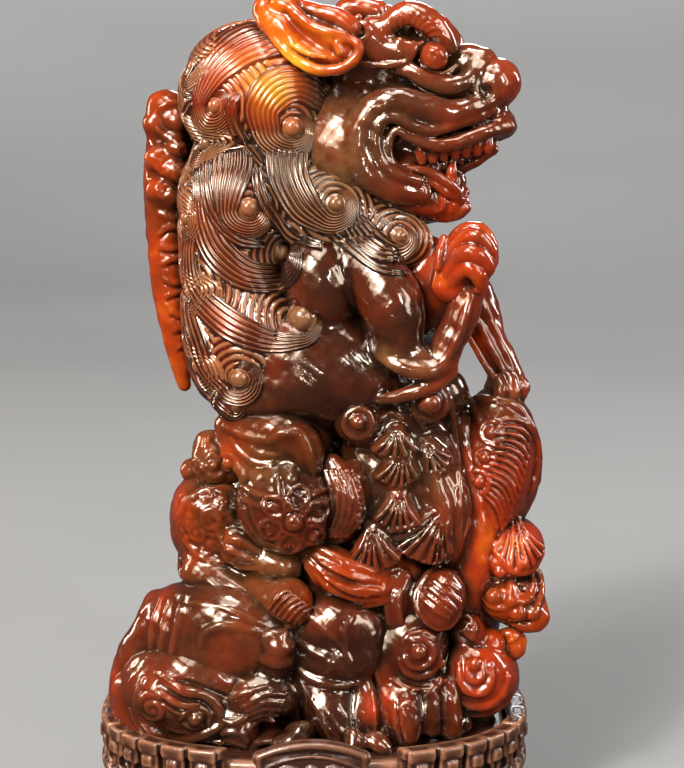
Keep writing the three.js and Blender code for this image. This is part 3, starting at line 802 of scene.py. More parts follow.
def lay_lock(ribbon, tree, plane, crown=1.0, grain=0.42):
    """A closed corrugated band on the mane: plane says which two axes it is drawn in, and which side."""
    a_axis, b_axis, d_axis, side = plane
    ridges = max(2, round(float(ribbon.width.max()) / RIDGE))
    per = 7
    count = ridges * per + 1
    share = np.linspace(0, 1, count)
    ends = np.minimum(np.arange(len(ribbon.width)) / 4.0, 1)
    toward = np.zeros(3)
    toward[d_axis] = -side

    def drop(ab, last):
        start = np.zeros(3)
        start[a_axis], start[b_axis], start[d_axis] = ab[0], ab[1], side * 260.0
        hit, normal, _, _ = tree.ray_cast(Vector(start), Vector(toward))
        if hit is None or (last is not None and abs(hit[d_axis] - last) > 9):
            guess = np.zeros(3)
            guess[a_axis], guess[b_axis] = ab[0], ab[1]
            guess[d_axis] = side * 12.0 if last is None else last
            hit, normal, _, _ = tree.find_nearest(Vector(guess))
        return np.array(hit), np.array(normal)

    rows = []
    last = None
    for middle, across, width, end in zip(ribbon.middle, ribbon.across, ribbon.width, ends):
        centre, normal = drop(middle, last)
        last = centre[d_axis]
        row, low = [], []
        for t in share:
            offset = (t - 0.5) * width
            p, n = drop(middle + across * offset, last)
            n = n * 0.6 + normal * 0.4
            n /= np.linalg.norm(n)
            hump = math.sqrt(max(0.0, 1 - (2 * t - 1) ** 2))
            rib = abs(math.sin(math.pi * t * ridges)) ** 0.75
            height = -0.25 + crown * (0.35 + 0.65 * hump) * min(1.0, width / 3.5) * end + grain * rib
            edge = min(t, 1 - t) * ridges
            if edge < 0.15:
                height = -0.4
            row.append(p + n * height)
            low.append(p - n * SUNK)
        low = low[::-3]
        rows.append(row + low[: len(low) - (len(row) + len(low)) % 2])
    rows = np.array(rows)
    n_along, n_round = rows.shape[:2]
    verts = rows.reshape(-1, 3)
    i, j = np.meshgrid(np.arange(n_along - 1), np.arange(n_round), indexing="ij")
    k = (j + 1) % n_round
    quads = np.stack([i * n_round + j, (i + 1) * n_round + j, (i + 1) * n_round + k, i * n_round + k],
                     -1).reshape(-1, 4)
    caps = lid(0, n_round, 1) + lid((n_along - 1) * n_round, n_round, -1)
    quads = np.vstack([quads, np.array(caps)])
    if ribbon.ball is None:
        return verts, quads
    centre, normal = drop(ribbon.ball, None)
    ball_v, ball_q = dome(centre - normal * 0.2, normal, ribbon.radius * 0.82, 0.95)
    quads = np.vstack([quads, np.array(ball_q) + len(verts)])
    return np.vstack([verts, np.array(ball_v)]), quads


def locks(tree):
    """All the locks, joined by the side of the mane that they are on."""
    groups = {"mane_locks_near": [], "mane_locks_far": [], "mane_locks_back": [], "mane_locks_top": []}
    for plan in LOCKS.values():
        groups["mane_locks_near"].append(lay_lock(Ribbon(*plan), tree, (0, 2, 1, -1)))
        groups["mane_locks_far"].append(lay_lock(Ribbon(*plan), tree, (0, 2, 1, 1)))
    for plan in BACK_LOCKS:
        groups["mane_locks_back"].append(lay_lock(Ribbon(*plan), tree, (1, 2, 0, -1)))
    for plan in TOP_LOCKS:
        groups["mane_locks_top"].append(lay_lock(Ribbon(*plan), tree, (0, 1, 2, 1)))
    for name, parts in groups.items():
        offsets = np.cumsum([0] + [len(v) for v, _ in parts[:-1]])
        v = np.vstack([v for v, _ in parts])
        quads = np.vstack([q + o for (_, q), o in zip(parts, offsets)])
        keep(name, [], "amber_hair", v, quads, hair=1.0)


# ---- the brocade ball, its ribbon, and the legs that rest on it ----
def ball_and_legs():
    knob = (-4.25, 82, 2.3)
    x, z = knob[:2]
    middle = np.array([x, z])
    # the edge of one petal: how far out, how far across, and how thick
    petal = ((3.2, 0.9, 0.5), (5.2, 2.4, 0.7), (7.4, 1.6, 0.75), (8.3, 0, 0.7), (7.4, -1.6, 0.75),
             (5.2, -2.4, 0.7), (3.2, -0.9, 0.5))
    petal_lines, petal_ticks = [], []
    for i in range(6):
        angle = math.radians(60 * i + 20)
        u = np.array([math.cos(angle), math.sin(angle)])
        w = np.array([-u[1], u[0]])
        petal_lines.append([(*(middle + u * out - w * across), r) for out, across, r in petal])
        for s in (-0.8, 0.0, 0.8):
            inner, outer = middle + u * 4.4 + w * s, middle + u * 6.6 + w * s * 1.2
            petal_ticks.append([(*inner, 0.32), (*outer, 0.4)])
    carve(
        "brocade_ball", ["brocade_ball"], "amber_red", 0.12,
        add(ball((-6, -17, 84), (12.4, 12.6, 12.4))),
        draw([(-8, 92, 0.8), (-7.5, 88.75, 0.9), (-6.5, 85.5, 0.8)],
             [(-5.75, 92, 0.8), (-5.5, 88.75, 0.9), (-5, 85.5, 0.8)], blend=0.4),
        draw([(-16.5, 89, 0.7), (-12.5, 88, 0.9), (-7.75, 87.75, 0.7)],
             [(-16.5, 86.5, 0.7), (-12.5, 85.5, 0.9), (-8, 85.5, 0.7)],
             [(-2.25, 86.25, 0.7), (0.75, 88.25, 0.9), (4.5, 88.75, 0.7)],
             [(-2, 84.25, 0.7), (1.25, 86, 0.9), (5, 86.25, 0.7)], blend=0.4),
        draw([(-15.75, 84.25, 0.6), (-14.5, 80.5, 0.7), (-11.5, 77.25, 0.7), (-7.25, 75, 0.6)],
             [(-14.5, 85.5, 0.5), (-13, 81.25, 0.6), (-10.5, 78.5, 0.6)],
             [(3, 84.25, 0.6), (2.25, 80, 0.7), (-0.75, 76.75, 0.7), (-4, 74.75, 0.6)]),
        draw(*petal_lines, blend=0.2, proud=0.85),
        draw(*petal_ticks, blend=0.15, proud=0.9),
        draw(ring(x, z, 3.1, 0.5), blend=0.2),
        draw(bead(*knob), blend=0.15, proud=0.9),
        scratch(bead(x, z, 0.45)),
        step=0.38,
    )
    # one pleat of the ribbon: x, z, how much of the spacing it keeps, and how thick it is
    pleat = ((2.75, 93, 1, 0.5), (4.25, 89.25, 1, 0.7), (4.75, 85, 1, 0.7), (3.75, 80.5, 0.95, 0.7),
             (1.75, 77.25, 0.9, 0.5))
    pleats = [[(x + 1.35 * i * share, z, r) for x, z, share, r in pleat] for i in range(6)]
    weave = [[(9.25 + 0.9 * (i % 2), 92.5 - 1.5 * i, 0.5), (11, 92.5 - 1.5 * i - 1.1, 0.5)]
             for i in range(9)]
    carve(
        "ball_ribbon", [], "amber_dark", 0.1,
        add(rope((4.5, -20, 93.5, 3), (7, -21, 89.5, 4.2), (8, -21, 84.5, 4.6), (6.5, -20, 79.5, 4.2),
                 (4, -19, 76.5, 2.8))),
        add(rope((9.5, -18, 92, 3), (11, -18, 87.5, 3.4), (10.5, -18, 81.5, 3)), 2),
        draw(*pleats, blend=0.2, proud=0.9),
        draw(*weave, blend=0.2, proud=0.8),
        step=0.38,
    )
    carve(
        "hind_leg_near", ["hind_leg_near"], "amber_orange", 0.1,
        add(ball((-8, -13, 99), (12.5, 9, 7.5))),
        add(rope((-19.5, -15, 102, 4), (-12, -19, 102, 4.4), (-6, -21, 101.5, 4.6), (-2, -22, 98.5, 4.2),
                 (-0.5, -22, 94, 3)), 2),
        add(ball((-9.5, -18, 96.5), (8.5, 5.5, 5.0)), 2),
        add(ball((-17.5, -15, 96.5), (4.6, 5.0, 4.6)), 2),
        add([rope((-17.5, -18, 94, 1.9), (-16, -20.5, 91.5, 1.7), (-16.5, -21, 90, 1)),
             rope((-14, -20, 93, 2), (-12.5, -23.5, 91, 1.8), (-13, -24, 89, 1)),
             rope((-10, -22, 93, 2), (-9, -25.5, 91, 1.8), (-9.5, -26, 89.5, 1)),
             rope((-6, -23, 93, 2), (-5, -26.5, 91.5, 1.8), (-5, -27, 90, 1))], 0.8),
        fill(1.2, 0.3),
        draw([(-20.5, 102.5, 0.7), (-15.75, 101.25, 0.9), (-10.5, 100.25, 1), (-6.75, 102.25, 1.3),
              (-3.25, 102, 1.4), (-1, 98.75, 1.3), (0.25, 93.5, 0.9)], blend=0.9),
        draw([(-19, 99.75, 0.5), (-17, 97, 0.6), (-13.75, 95, 0.6), (-9.5, 94.5, 0.5)],
             [(-14.25, 98.25, 0.4), (-12, 97, 0.5), (-7.75, 97, 0.4)], blend=0.5),
        draw(bead(-20, 94, 1.5), ring(-20, 94, 2.3, 0.5), blend=0.2),
        step=0.4,
    )


def tufted_leg():
    tufts = [
        tuft((20, 102.75), [(14.75, 97.5), (19.25, 96.25), (24, 97.75)], 5, -20.5),
        tuft((21.5, 98.25), [(15.5, 91), (20, 89.25), (24.5, 91)], 6, -20.5),
        tuft((26.25, 99.5), [(27.25, 92.5), (30.5, 92.5), (32, 95.5)], 5, -18.5),
        tuft((20.5, 88.25), [(15.25, 81.5), (19.75, 78.5), (25, 80)], 6, -21.5),
        tuft((31.5, 83.5), [(18.5, 78.5), (21.5, 73.25), (28.25, 70.5), (32.25, 73.25)], 9, -19.5),
        tuft((13.75, 80.25), [(9, 71.5), (14, 68.25), (20, 72)], 6, -22.0),
    ]
    carve(
        "tufted_leg", ["tufted_leg"], "amber_dark", 0.05,
        add(ball((20.5, -7, 88), (14.5, 12.5, 22), (0, 4, 0))),
        add(rope((27.5, -10, 98, 5.5), (29.5, -13, 89, 6.2), (31.5, -13.5, 81.5, 6.4),
                 (30.5, -13, 73, 5.4)), 2.5),
        add(rope((12.5, -12, 98.5, 5), (13, -13, 89, 5.6), (11.5, -14, 79.5, 5.6)), 2.5),
        add(ball((10.5, -17.5, 104), (5.4, 5.4, 5.4)), 2),
        add(ball((27.5, -17, 108.5), (5.0, 4.6, 5.0)), 2),
        add(ball((20.5, -13, 106), (7, 5, 5)), 3),
        *[t[0] for t in reversed(tufts)],
        fill(1.2, 0.35),
        draw([(29, 92, 1), (30.25, 87.25, 1.6), (31.5, 82.5, 1.8), (31.5, 78, 1.2)], blend=1.2),
        draw([(32.75, 109.25, 0.6), (34, 99.75, 0.7), (34.75, 90.25, 0.8), (34.5, 80.5, 0.8),
              (33.5, 71, 0.6)], blend=0.8),
        *[t[1] for t in tufts],
        draw(ring(10.75, 104, 3.3, 0.95), blend=0.3, proud=0.85),
        draw(bead(10.5, 104.5, 1.8), blend=0.3, proud=0.9),
        draw(bead(27.5, 108.75, 2.7), blend=0.3, proud=0.9),
        draw(ring(27.5, 108.5, 3.8, 0.7), blend=0.3),
        draw([(15.25, 110.25, 0.5), (19, 108.75, 0.8), (22.5, 109.75, 0.8), (24.75, 111.5, 0.5)],
             [(15.75, 104.5, 0.5), (18.5, 106, 0.7), (21, 104.5, 0.6)],
             [(23, 107, 0.5), (24.75, 105, 0.7), (26.25, 102, 0.6)], blend=0.5),
        step=0.38,
    )


# ---- the cubs ----
def left_cub():
    carve(
        "left_cub_body", ["left_cub_body"], "amber_orange", 0.3,
        add(ball((-22.5, -1, 76.5), (13.2, 14.5, 14.5))),
        add(ball((-24, -8, 82), (10.0, 9.5, 8)), 3),
        add(rope((-26.5, -12, 65.5, 5.5), (-20.5, -16, 62, 5.2), (-13, -19, 59.5, 4.6)), 3),
        add(rope((-26.5, -8, 65, 4), (-24.5, -10, 59, 5)), 3),
        add(ball((-16, -15, 73), (6.6, 5.5, 5.0), (0, 30, 0)), 2.5),
        add(rope((-13.5, -16, 71, 3.8), (-10, -18, 69.5, 4), (-5.5, -19, 69, 3.2)), 2),
        fill(1.2, 0.2),
        draw(*beads(3, 90, (-31.5, -18.25), (71, 87.25), (0.5, 1.0)), blend=0.5, proud=0.45),
        draw([(-32.5, 80.5, 0.6), (-30, 84.25, 0.9), (-25.75, 86.75, 1), (-20.5, 87.25, 0.8),
              (-17.25, 85, 0.5)],
             [(-31, 73.75, 0.6), (-27.75, 71, 0.8), (-23, 69.5, 0.8), (-18.25, 71, 0.5)], blend=0.9),
        draw(ring(-24, 80, 3.0, 0.7, 0.7, 1.5, 30), ring(-19.25, 75.75, 2.6, 0.65, 0.6, 1.4, 200),
             ring(-27.5, 76.25, 2.3, 0.6, 0.6, 1.3, 120), blend=0.6, proud=0.5),
        draw([(-19.25, 79.5, 0.6), (-15.75, 78, 0.9), (-12.5, 75.75, 1), (-11, 72.75, 0.7)],
             [(-21, 71, 0.5), (-17.75, 69, 0.8), (-13.5, 69, 0.6)],
             [(-20, 76.25, 0.5), (-16.25, 75.25, 0.7), (-13, 73.25, 0.6)],
             [(-20.5, 73.5, 0.5), (-17.25, 72, 0.7), (-13.5, 71, 0.6)], blend=0.5),
        scratch([(-19.5, 78, 0.35), (-16, 76.5, 0.45), (-12.5, 74.25, 0.4)],
                [(-20.5, 74.75, 0.35), (-16.75, 73.5, 0.45), (-13.25, 72, 0.4)], blend=0.3),
        draw(bead(-6.5, 69.5, 2.4), blend=1.0, proud=0.5),
        draw([(-25.5, 66, 0.5), (-21.75, 63.5, 0.7), (-17.5, 62, 0.6)],
             [(-27.75, 64, 0.5), (-24, 61.25, 0.7)], blend=0.6),
        *scrolls([(-23, 75, 5.4, 40, 1), (-30.5, 67, 2.6, 100, -1), (-15, 69, 3.0, 200, -1)]),
        comb((-24, 89), [(-31, 84), (-27, 82), (-21, 82), (-16, 84)], 7, fallback=10, behind=True),
        draw([(-33, 74, 0.5), (-30, 82, 0.8), (-24, 86, 0.8), (-17, 82, 0.5)],
             [(-34, 70, 0.5), (-32, 64, 0.8), (-25, 62, 0.8), (-17, 63, 0.5)],
             blend=0.6, fallback=10, behind=True),
        step=0.42,
    )
    carve(
        "left_cub_head", ["left_cub_head"], "amber_orange", 0.15,
        add(ball((-19.5, -6, 92), (7.4, 8, 7.8))),
        add(rope((-25, -10, 96.5, 4), (-24.5, -12, 93.5, 4.4), (-24, -12, 90, 4)), 1.5),
        add(ball((-29.5, -6, 90), (3.0, 3.4, 3.0)), 1.5),
        fill(1.2, 0.3),
        draw([(-25.75, 97, 0.7), (-25, 99, 0.9), (-23.25, 99.25, 0.9), (-22, 97.25, 0.7)],
             [(-25.5, 94.5, 0.5), (-24, 95.75, 0.7), (-22, 94.5, 0.5)],
             [(-25.25, 91, 0.5), (-23.5, 90.25, 0.8), (-21.5, 91, 0.6)], blend=0.4),
        draw(bead(-23.75, 93, 1.3), bead(-26, 92.25, 0.9), blend=0.3),
        draw(ring(-27.5, 92.25, 1.9, 0.5, 0.5, 1.2, 90), blend=0.4),
        scratch([(-26, 88.75, 0.4), (-23.25, 88, 0.5), (-20.5, 89.25, 0.4)]),
        step=0.4,
    )
    arcs = []
    for i in range(6):
        at = np.array((-10, 60.5)) + (1.15 * i, -0.75 * i)
        arcs.append([(*at, 0.4), (*(at + (1.6, 2.3)), 0.6), (*(at + (3.4, 4.0 - 0.1 * i)), 0.66),
                     (*(at + (4.6, 4.4 - 0.2 * i)), 0.45)])
    carve(
        "left_cub_paw", ["left_cub_paw"], "amber_orange", 0.2,
        add(rope((-16.5, -16, 63, 4), (-12, -19, 62.5, 4.6), (-8.5, -21, 61.5, 5), (-5.5, -22, 60.5, 4.8))),
        add(ball((-5.5, -22, 61.5), (5.6, 4.6, 5.6)), 1.5),
        draw(*arcs, blend=0.2, proud=0.85),
        scratch(*[[(x, z - 0.62, 0.32) for x, z, _ in line] for line in arcs]),
        draw([(-10.75, 58.25, 0.6), (-8, 56.25, 0.8), (-4, 56.25, 0.8), (-1.25, 58.25, 0.6)], blend=0.3),
        draw(bead(-3, 57.25, 1), bead(-6, 56, 1), bead(-8.75, 56.5, 0.9), blend=0.3),
        step=0.36,
    )


def climbing_cub():
    pelt = []
    for i in range(14):
        t = i / 13
        at = np.array((44, 102.25)) - (2.4 * t, 17.5 * t)
        line, angle = [(*at, 0.45)], math.radians(14 - 62 * t)
        for reach, width in ((3.6, 0.66), (3.6, 0.72), (3.4, 0.5)):
            at = at + reach * np.array([math.cos(angle), math.sin(angle)])
            line.append((*at, width))
            angle -= math.radians(32 - 14 * t)
        pelt.append(line)
    grooves = [[(x - 0.1 - 0.03 * i, z - 0.64, 0.32) for x, z, _ in line] for i, line in enumerate(pelt)]
    carve(
        "climbing_cub_body", ["climbing_cub_body"], "amber_red", 0.2,
        add(ball((44.6, -1, 92), (9.8, 11.5, 18.5), (0, 4, 0))),
        add(rope((45, 0, 104, 4.5), (48.5, 0, 100.5, 5), (51, 0, 94, 5), (51.5, 0, 87, 4.6),
                 (48.5, 0, 79, 4.4)), 2),
        add(rope((40.5, -4, 97, 4), (40.5, -5, 87.5, 5), (42.5, -6, 77.5, 4.5)), 3),
        fill(1.2, 0.2),
        draw(*pelt, blend=0.25, proud=0.8, fallback=-8),
        scratch(*grooves, fallback=-8),
        draw(*pelt, blend=0.25, proud=0.8, fallback=8, behind=True),
        scratch(*grooves, fallback=8, behind=True),
        draw([(37, 106.5, 0.7), (42, 107.5, 1.2), (48, 106.5, 1.3), (52, 102.25, 1.3), (54.5, 96.25, 1.3),
              (54.75, 90.75, 1.2), (53, 84.75, 1)],
             blend=0.6, fallback=-8),
        draw([(37.5, 108.25, 0.6), (39.25, 105, 1), (40.75, 101.5, 0.7)], blend=0.6, fallback=-8),
        draw(bead(43, 100, 1.7), ring(43, 100, 2.7, 0.6), bead(41.5, 94, 1.4), ring(41.5, 94, 2.3, 0.5),
             bead(39.75, 88, 1.7), ring(39.75, 88, 2.8, 0.6), blend=0.2, fallback=-8),
        step=0.4,
    )
    carve(
        "climbing_cub_rump", ["climbing_cub_rump"], "amber_red", 0.3,
        add(ball((49.0, -2, 70), (8.0, 9.5, 7.6))),
        add(ball((47, -8, 68), (6, 5, 5)), 2),
        fill(1.2, 0.2),
        comb((48.75, 80.25), [(43.75, 71), (48.25, 67.5), (53.25, 67.5), (56, 71)], 8, fallback=-8),
        comb((48.75, 80.25), [(43.75, 71), (48.25, 67.5), (53.25, 67.5), (56, 71)], 8, fallback=6,
             behind=True),
        draw([(44, 71, 0.6), (48.25, 66.5, 0.9), (53.5, 66, 0.9), (56.25, 69.5, 0.6)], blend=0.3,
             fallback=-8),
        draw(bead(43.75, 72.5, 1.3), bead(42, 69.5, 1.2), bead(45.25, 66, 1.5), bead(50.5, 68, 1.8),
             blend=0.3, fallback=-8),
        step=0.38,
    )
    carve(
        "climbing_cub_head", ["climbing_cub_head"], "amber_orange", 0.15,
        add(ball((50.0, -4, 57.5), (7.0, 8, 7.0))),
        add(ball((47, -10, 58.5), (6, 4.6, 5)), 1.5),
        add(ball((53, -8, 54), (5, 4.6, 4)), 1.5),
        fill(1.2, 0.2),
        draw(ring(50.75, 62, 3.0, 1.1), blend=0.3, fallback=-10),
        scratch(bead(50.75, 62, 1.2), fallback=-10),
        draw([(52.5, 66.5, 0.8), (55.25, 64, 1.2), (55.75, 60.25, 1.2), (54, 56.75, 0.9)],
             [(47.25, 66, 0.6), (49.75, 67, 0.9), (52, 65.5, 0.7)],
             blend=0.4, fallback=-10),
        draw(bead(45.25, 64, 2), bead(43.75, 60.25, 2.2), bead(47.75, 59.25, 1.6), bead(49.5, 56.25, 2.2),
             bead(53.25, 55.75, 1.8),
             bead(42, 62.5, 1.4), blend=0.5, fallback=-10),
        draw([(40.75, 59.75, 0.6), (43.5, 57.75, 0.9), (46.5, 57.75, 0.7)],
             [(45.75, 62, 0.5), (47.25, 61.25, 0.6), (48, 59.75, 0.5)], blend=0.3, fallback=-10),
        scratch([(44.5, 54.75, 0.5), (48.5, 53.25, 0.6), (52.75, 53.75, 0.5)], fallback=-10),
        *scrolls([(50, 58, 3.6, 90, 1)], 0.8, 3),
        step=0.38,
    )


def crouching_beast():
    pleats = [[(-36.5, 61, 0.5), (-37.75, 56.75, 0.9), (-38.75, 51.5, 0.9), (-38.25, 47, 0.6)],
              [(-33.75, 60.75, 0.5), (-35, 56.25, 0.9), (-36, 51, 0.9), (-36, 46.5, 0.6)],
              [(-31, 60, 0.5), (-32.25, 55.25, 0.8), (-33.25, 50, 0.8), (-33.5, 46, 0.5)]]
    carve(
        "crouching_beast_body", ["crouching_cub_body"], "amber_red", 0.1,
        add(ball((-21.5, -9, 49), (21.5, 18, 15.5))),
        add(rope((-32.5, -14, 56.5, 6.5), (-23.5, -18, 56.5, 8.5), (-15, -19, 54.5, 8.5),
                 (-8.5, -19, 50, 6)), 3),
        add(rope((-38.5, -10, 58, 3), (-39.5, -12, 53, 4), (-40.5, -14, 46, 4.6)), 2.5),
        add(rope((-42.5, -12, 46.5, 5), (-44, -12, 38, 6), (-42.5, -12, 29, 6.5)), 3),
        fill(1.2, 0.2),
        draw(*pleats, blend=0.7),
        draw([(-26.25, 52, 0.6), (-25.5, 54.75, 1), (-22.5, 56.5, 1.1), (-17.5, 56.75, 0.9),
              (-12.25, 55.25, 0.6)], blend=0.6, proud=0.6),
        draw([(-29.25, 61.25, 0.5), (-24, 61.25, 0.7), (-17.5, 59.75, 0.7), (-12.25, 57.25, 0.5)],
             blend=0.6, proud=0.5),
        *scrolls([(-29, 46, 5.6, 30, 1), (-12, 48, 4.6, 160, -1)], 1.0, 4),
        comb((-21, 61), [(-27, 53), (-22, 50), (-16, 53)], 6, fallback=4, behind=True),
        draw([(-40, 42, 0.6), (-38, 52, 1.0), (-30, 58, 1.0), (-21, 60, 0.6)],
             [(-36, 36, 0.6), (-24, 37, 0.9), (-12, 38, 0.9), (-4, 42, 0.6)],
             blend=0.6, fallback=4, behind=True),
        step=0.46,
    )
    carve(
        "crouching_beast_head", ["crouching_cub_head"], "amber_red", 0.12,
        add(ball((-31.5, -16, 39.5), (15, 14.5, 10))),
        add(rope((-39.5, -16, 43.5, 5), (-30.5, -20, 44.5, 6.5), (-22.5, -21, 42, 6.5),
                 (-16.5, -21, 39.5, 5)), 3),
        add(ball((-27, -20, 34.5), (11, 9, 7.5)), 3),
        add(rope((-44.5, -16, 38, 4.5), (-43, -19, 33.5, 4.5), (-39, -22, 30.5, 4)), 2),
        fill(1.2, 0.2),
        draw([(-36.5, 45.5, 0.7), (-33, 44.25, 1.2), (-30, 42, 1.3), (-26.25, 41.25, 1.3), (-23, 39, 1.3),
              (-21.5, 35.5, 1.1), (-22.75, 32.5, 0.7)], blend=0.4,
             proud=0.85),
        draw([(-36, 41.75, 0.6), (-32.5, 39.5, 0.95), (-29.25, 38.5, 0.9), (-26.5, 39, 0.6)],
             [(-34.75, 38.75, 0.5), (-32, 37, 0.7), (-30.25, 36.25, 0.5)], blend=0.3,
             proud=0.8),
        scratch([(-36.25, 43.5, 0.4), (-32.75, 41.5, 0.6), (-29.5, 40, 0.6), (-26, 39.5, 0.5),
                 (-23.75, 37, 0.4)], [(-35.25, 40, 0.35), (-32, 38, 0.5), (-29.5, 37.25, 0.4)]),
        scratch([(-35.75, 46, 0.5), (-31.5, 44.5, 0.6), (-26.5, 43, 0.6), (-21.5, 40.5, 0.6),
                 (-17.5, 37.5, 0.5)], blend=0.5),
        draw(ring(-37.5, 37.25, 3.8, 0.85, 0.6, 1.7, 60), blend=0.25, proud=0.8),
        draw([(-40, 44, 0.6), (-41.5, 39, 1.1), (-41, 35, 1), (-38.5, 32.5, 0.7)], blend=0.5, proud=0.8),
        draw(bead(-27.25, 35.25, 2), blend=0.2, proud=0.9),
        draw([(-31, 35, 0.5), (-29, 37.25, 0.7), (-26.25, 37.75, 0.7), (-24, 35.75, 0.6),
              (-24.25, 33.5, 0.5)],
             [(-30.5, 34, 0.5), (-28.25, 32.75, 0.7), (-25.25, 33.25, 0.5)], blend=0.2),
        draw([(-43, 35.5, 0.8), (-39.75, 31.5, 1.4), (-34.5, 29, 1.6), (-29.25, 29.5, 1.5),
              (-24.5, 31.5, 1.3), (-21, 33.5, 0.9)], blend=0.4, proud=0.85),
        scratch([(-42, 33, 0.5), (-38.75, 29.5, 0.7), (-34, 27.5, 0.7), (-28.75, 27.5, 0.7),
                 (-24, 29.5, 0.6), (-20.5, 31.75, 0.5)], blend=0.4),
        draw([(-40.75, 30, 0.6), (-37, 27, 0.9), (-31.25, 26, 0.9), (-26, 26.5, 0.6)], blend=0.5),
        draw([(-34.5, 32.5, 0.4), (-32, 31.5, 0.5), (-29.75, 31.5, 0.4)], blend=0.3),
        step=0.4,
    )
    claws = []
    for i in range(5):
        claws.append([(-16 + 0.5 * i, 38 - 1.2 * i, 0.6),
                      (-11.25 - 0.1 * i, 40.8 - 1.7 * i, 0.75),
                      (-6.4 - 0.7 * i, 40.4 - 1.8 * i, 0.55)])
    carve(
        "crouching_beast_paws", ["crouching_cub_paws"], "amber_dark", 0.12,
        add(rope((-12, -20, 53.5, 4.2), (-9, -22, 51.5, 4.4), (-7, -22, 48, 3.6))),
        add(rope((-19.5, -22, 38, 4.5), (-14.5, -24, 39.5, 5), (-9.5, -24, 39, 4.6),
                 (-6.5, -23, 37.5, 3.4)), 1.5),
        add(rope((-20.5, -24, 34, 4), (-18, -25, 32.5, 4.4), (-16.5, -25, 30, 3.6)), 1.5),
        add([rope((-13, -24, 54.5, 1.6), (-10, -26, 54, 1.9), (-7, -26, 54.5, 1.4)),
             rope((-11, -25, 52, 1.7), (-8, -27, 51.5, 2), (-5.5, -26, 52, 1.4)),
             rope((-11.5, -25, 49, 1.7), (-8.5, -26.5, 48.5, 2), (-6, -26, 48, 1.4)),
             rope((-12, -24, 45.5, 1.5), (-9.5, -25, 45.5, 1.6), (-7.5, -25, 45.5, 1.2))], 0.6),
        fill(1.0, 0.4),
        draw(*claws, blend=0.2, proud=0.85),
        draw([(-21.5, 34.5, 0.6), (-18.5, 34, 0.9), (-15.75, 35, 0.7)],
             [(-22.5, 30.5, 0.6), (-20, 31.75, 0.9), (-17, 31.5, 0.8), (-15.25, 29.5, 0.6)],
             [(-22, 28, 0.6), (-19.5, 29.5, 0.9), (-16.75, 28.5, 0.8), (-15.25, 26.5, 0.6)],
             [(-20, 25.5, 0.6), (-17.75, 27, 0.8), (-15.25, 25.5, 0.6)], blend=0.3),
        draw([(-21.5, 38.5, 0.6), (-18.5, 40, 0.8), (-14.75, 41.5, 0.7), (-10.5, 42.5, 0.5)], blend=0.4),
        step=0.4,
    )


# ---- the sash, the low paw, the clouds and the rocks ----
def lumps(seed, centre, radii, count, size, arc=(-math.pi, math.pi), lifts=(-1.0, 1.0)):
    """Rounded knobs over part of an ellipsoid, as on a weathered rock."""
    r = np.random.default_rng(seed)
    out = []
    for _ in range(count):
        angle, lift = r.uniform(*arc), r.uniform(*lifts)
        p = [centre[0] + radii[0] * math.cos(angle) * math.cos(lift),
             centre[1] + radii[1] * math.sin(angle) * math.cos(lift),
             centre[2] + radii[2] * math.sin(lift)]
        out.append(ball(p, r.uniform(*size, 3), tuple(r.uniform(-40, 40, 3))))
    return out


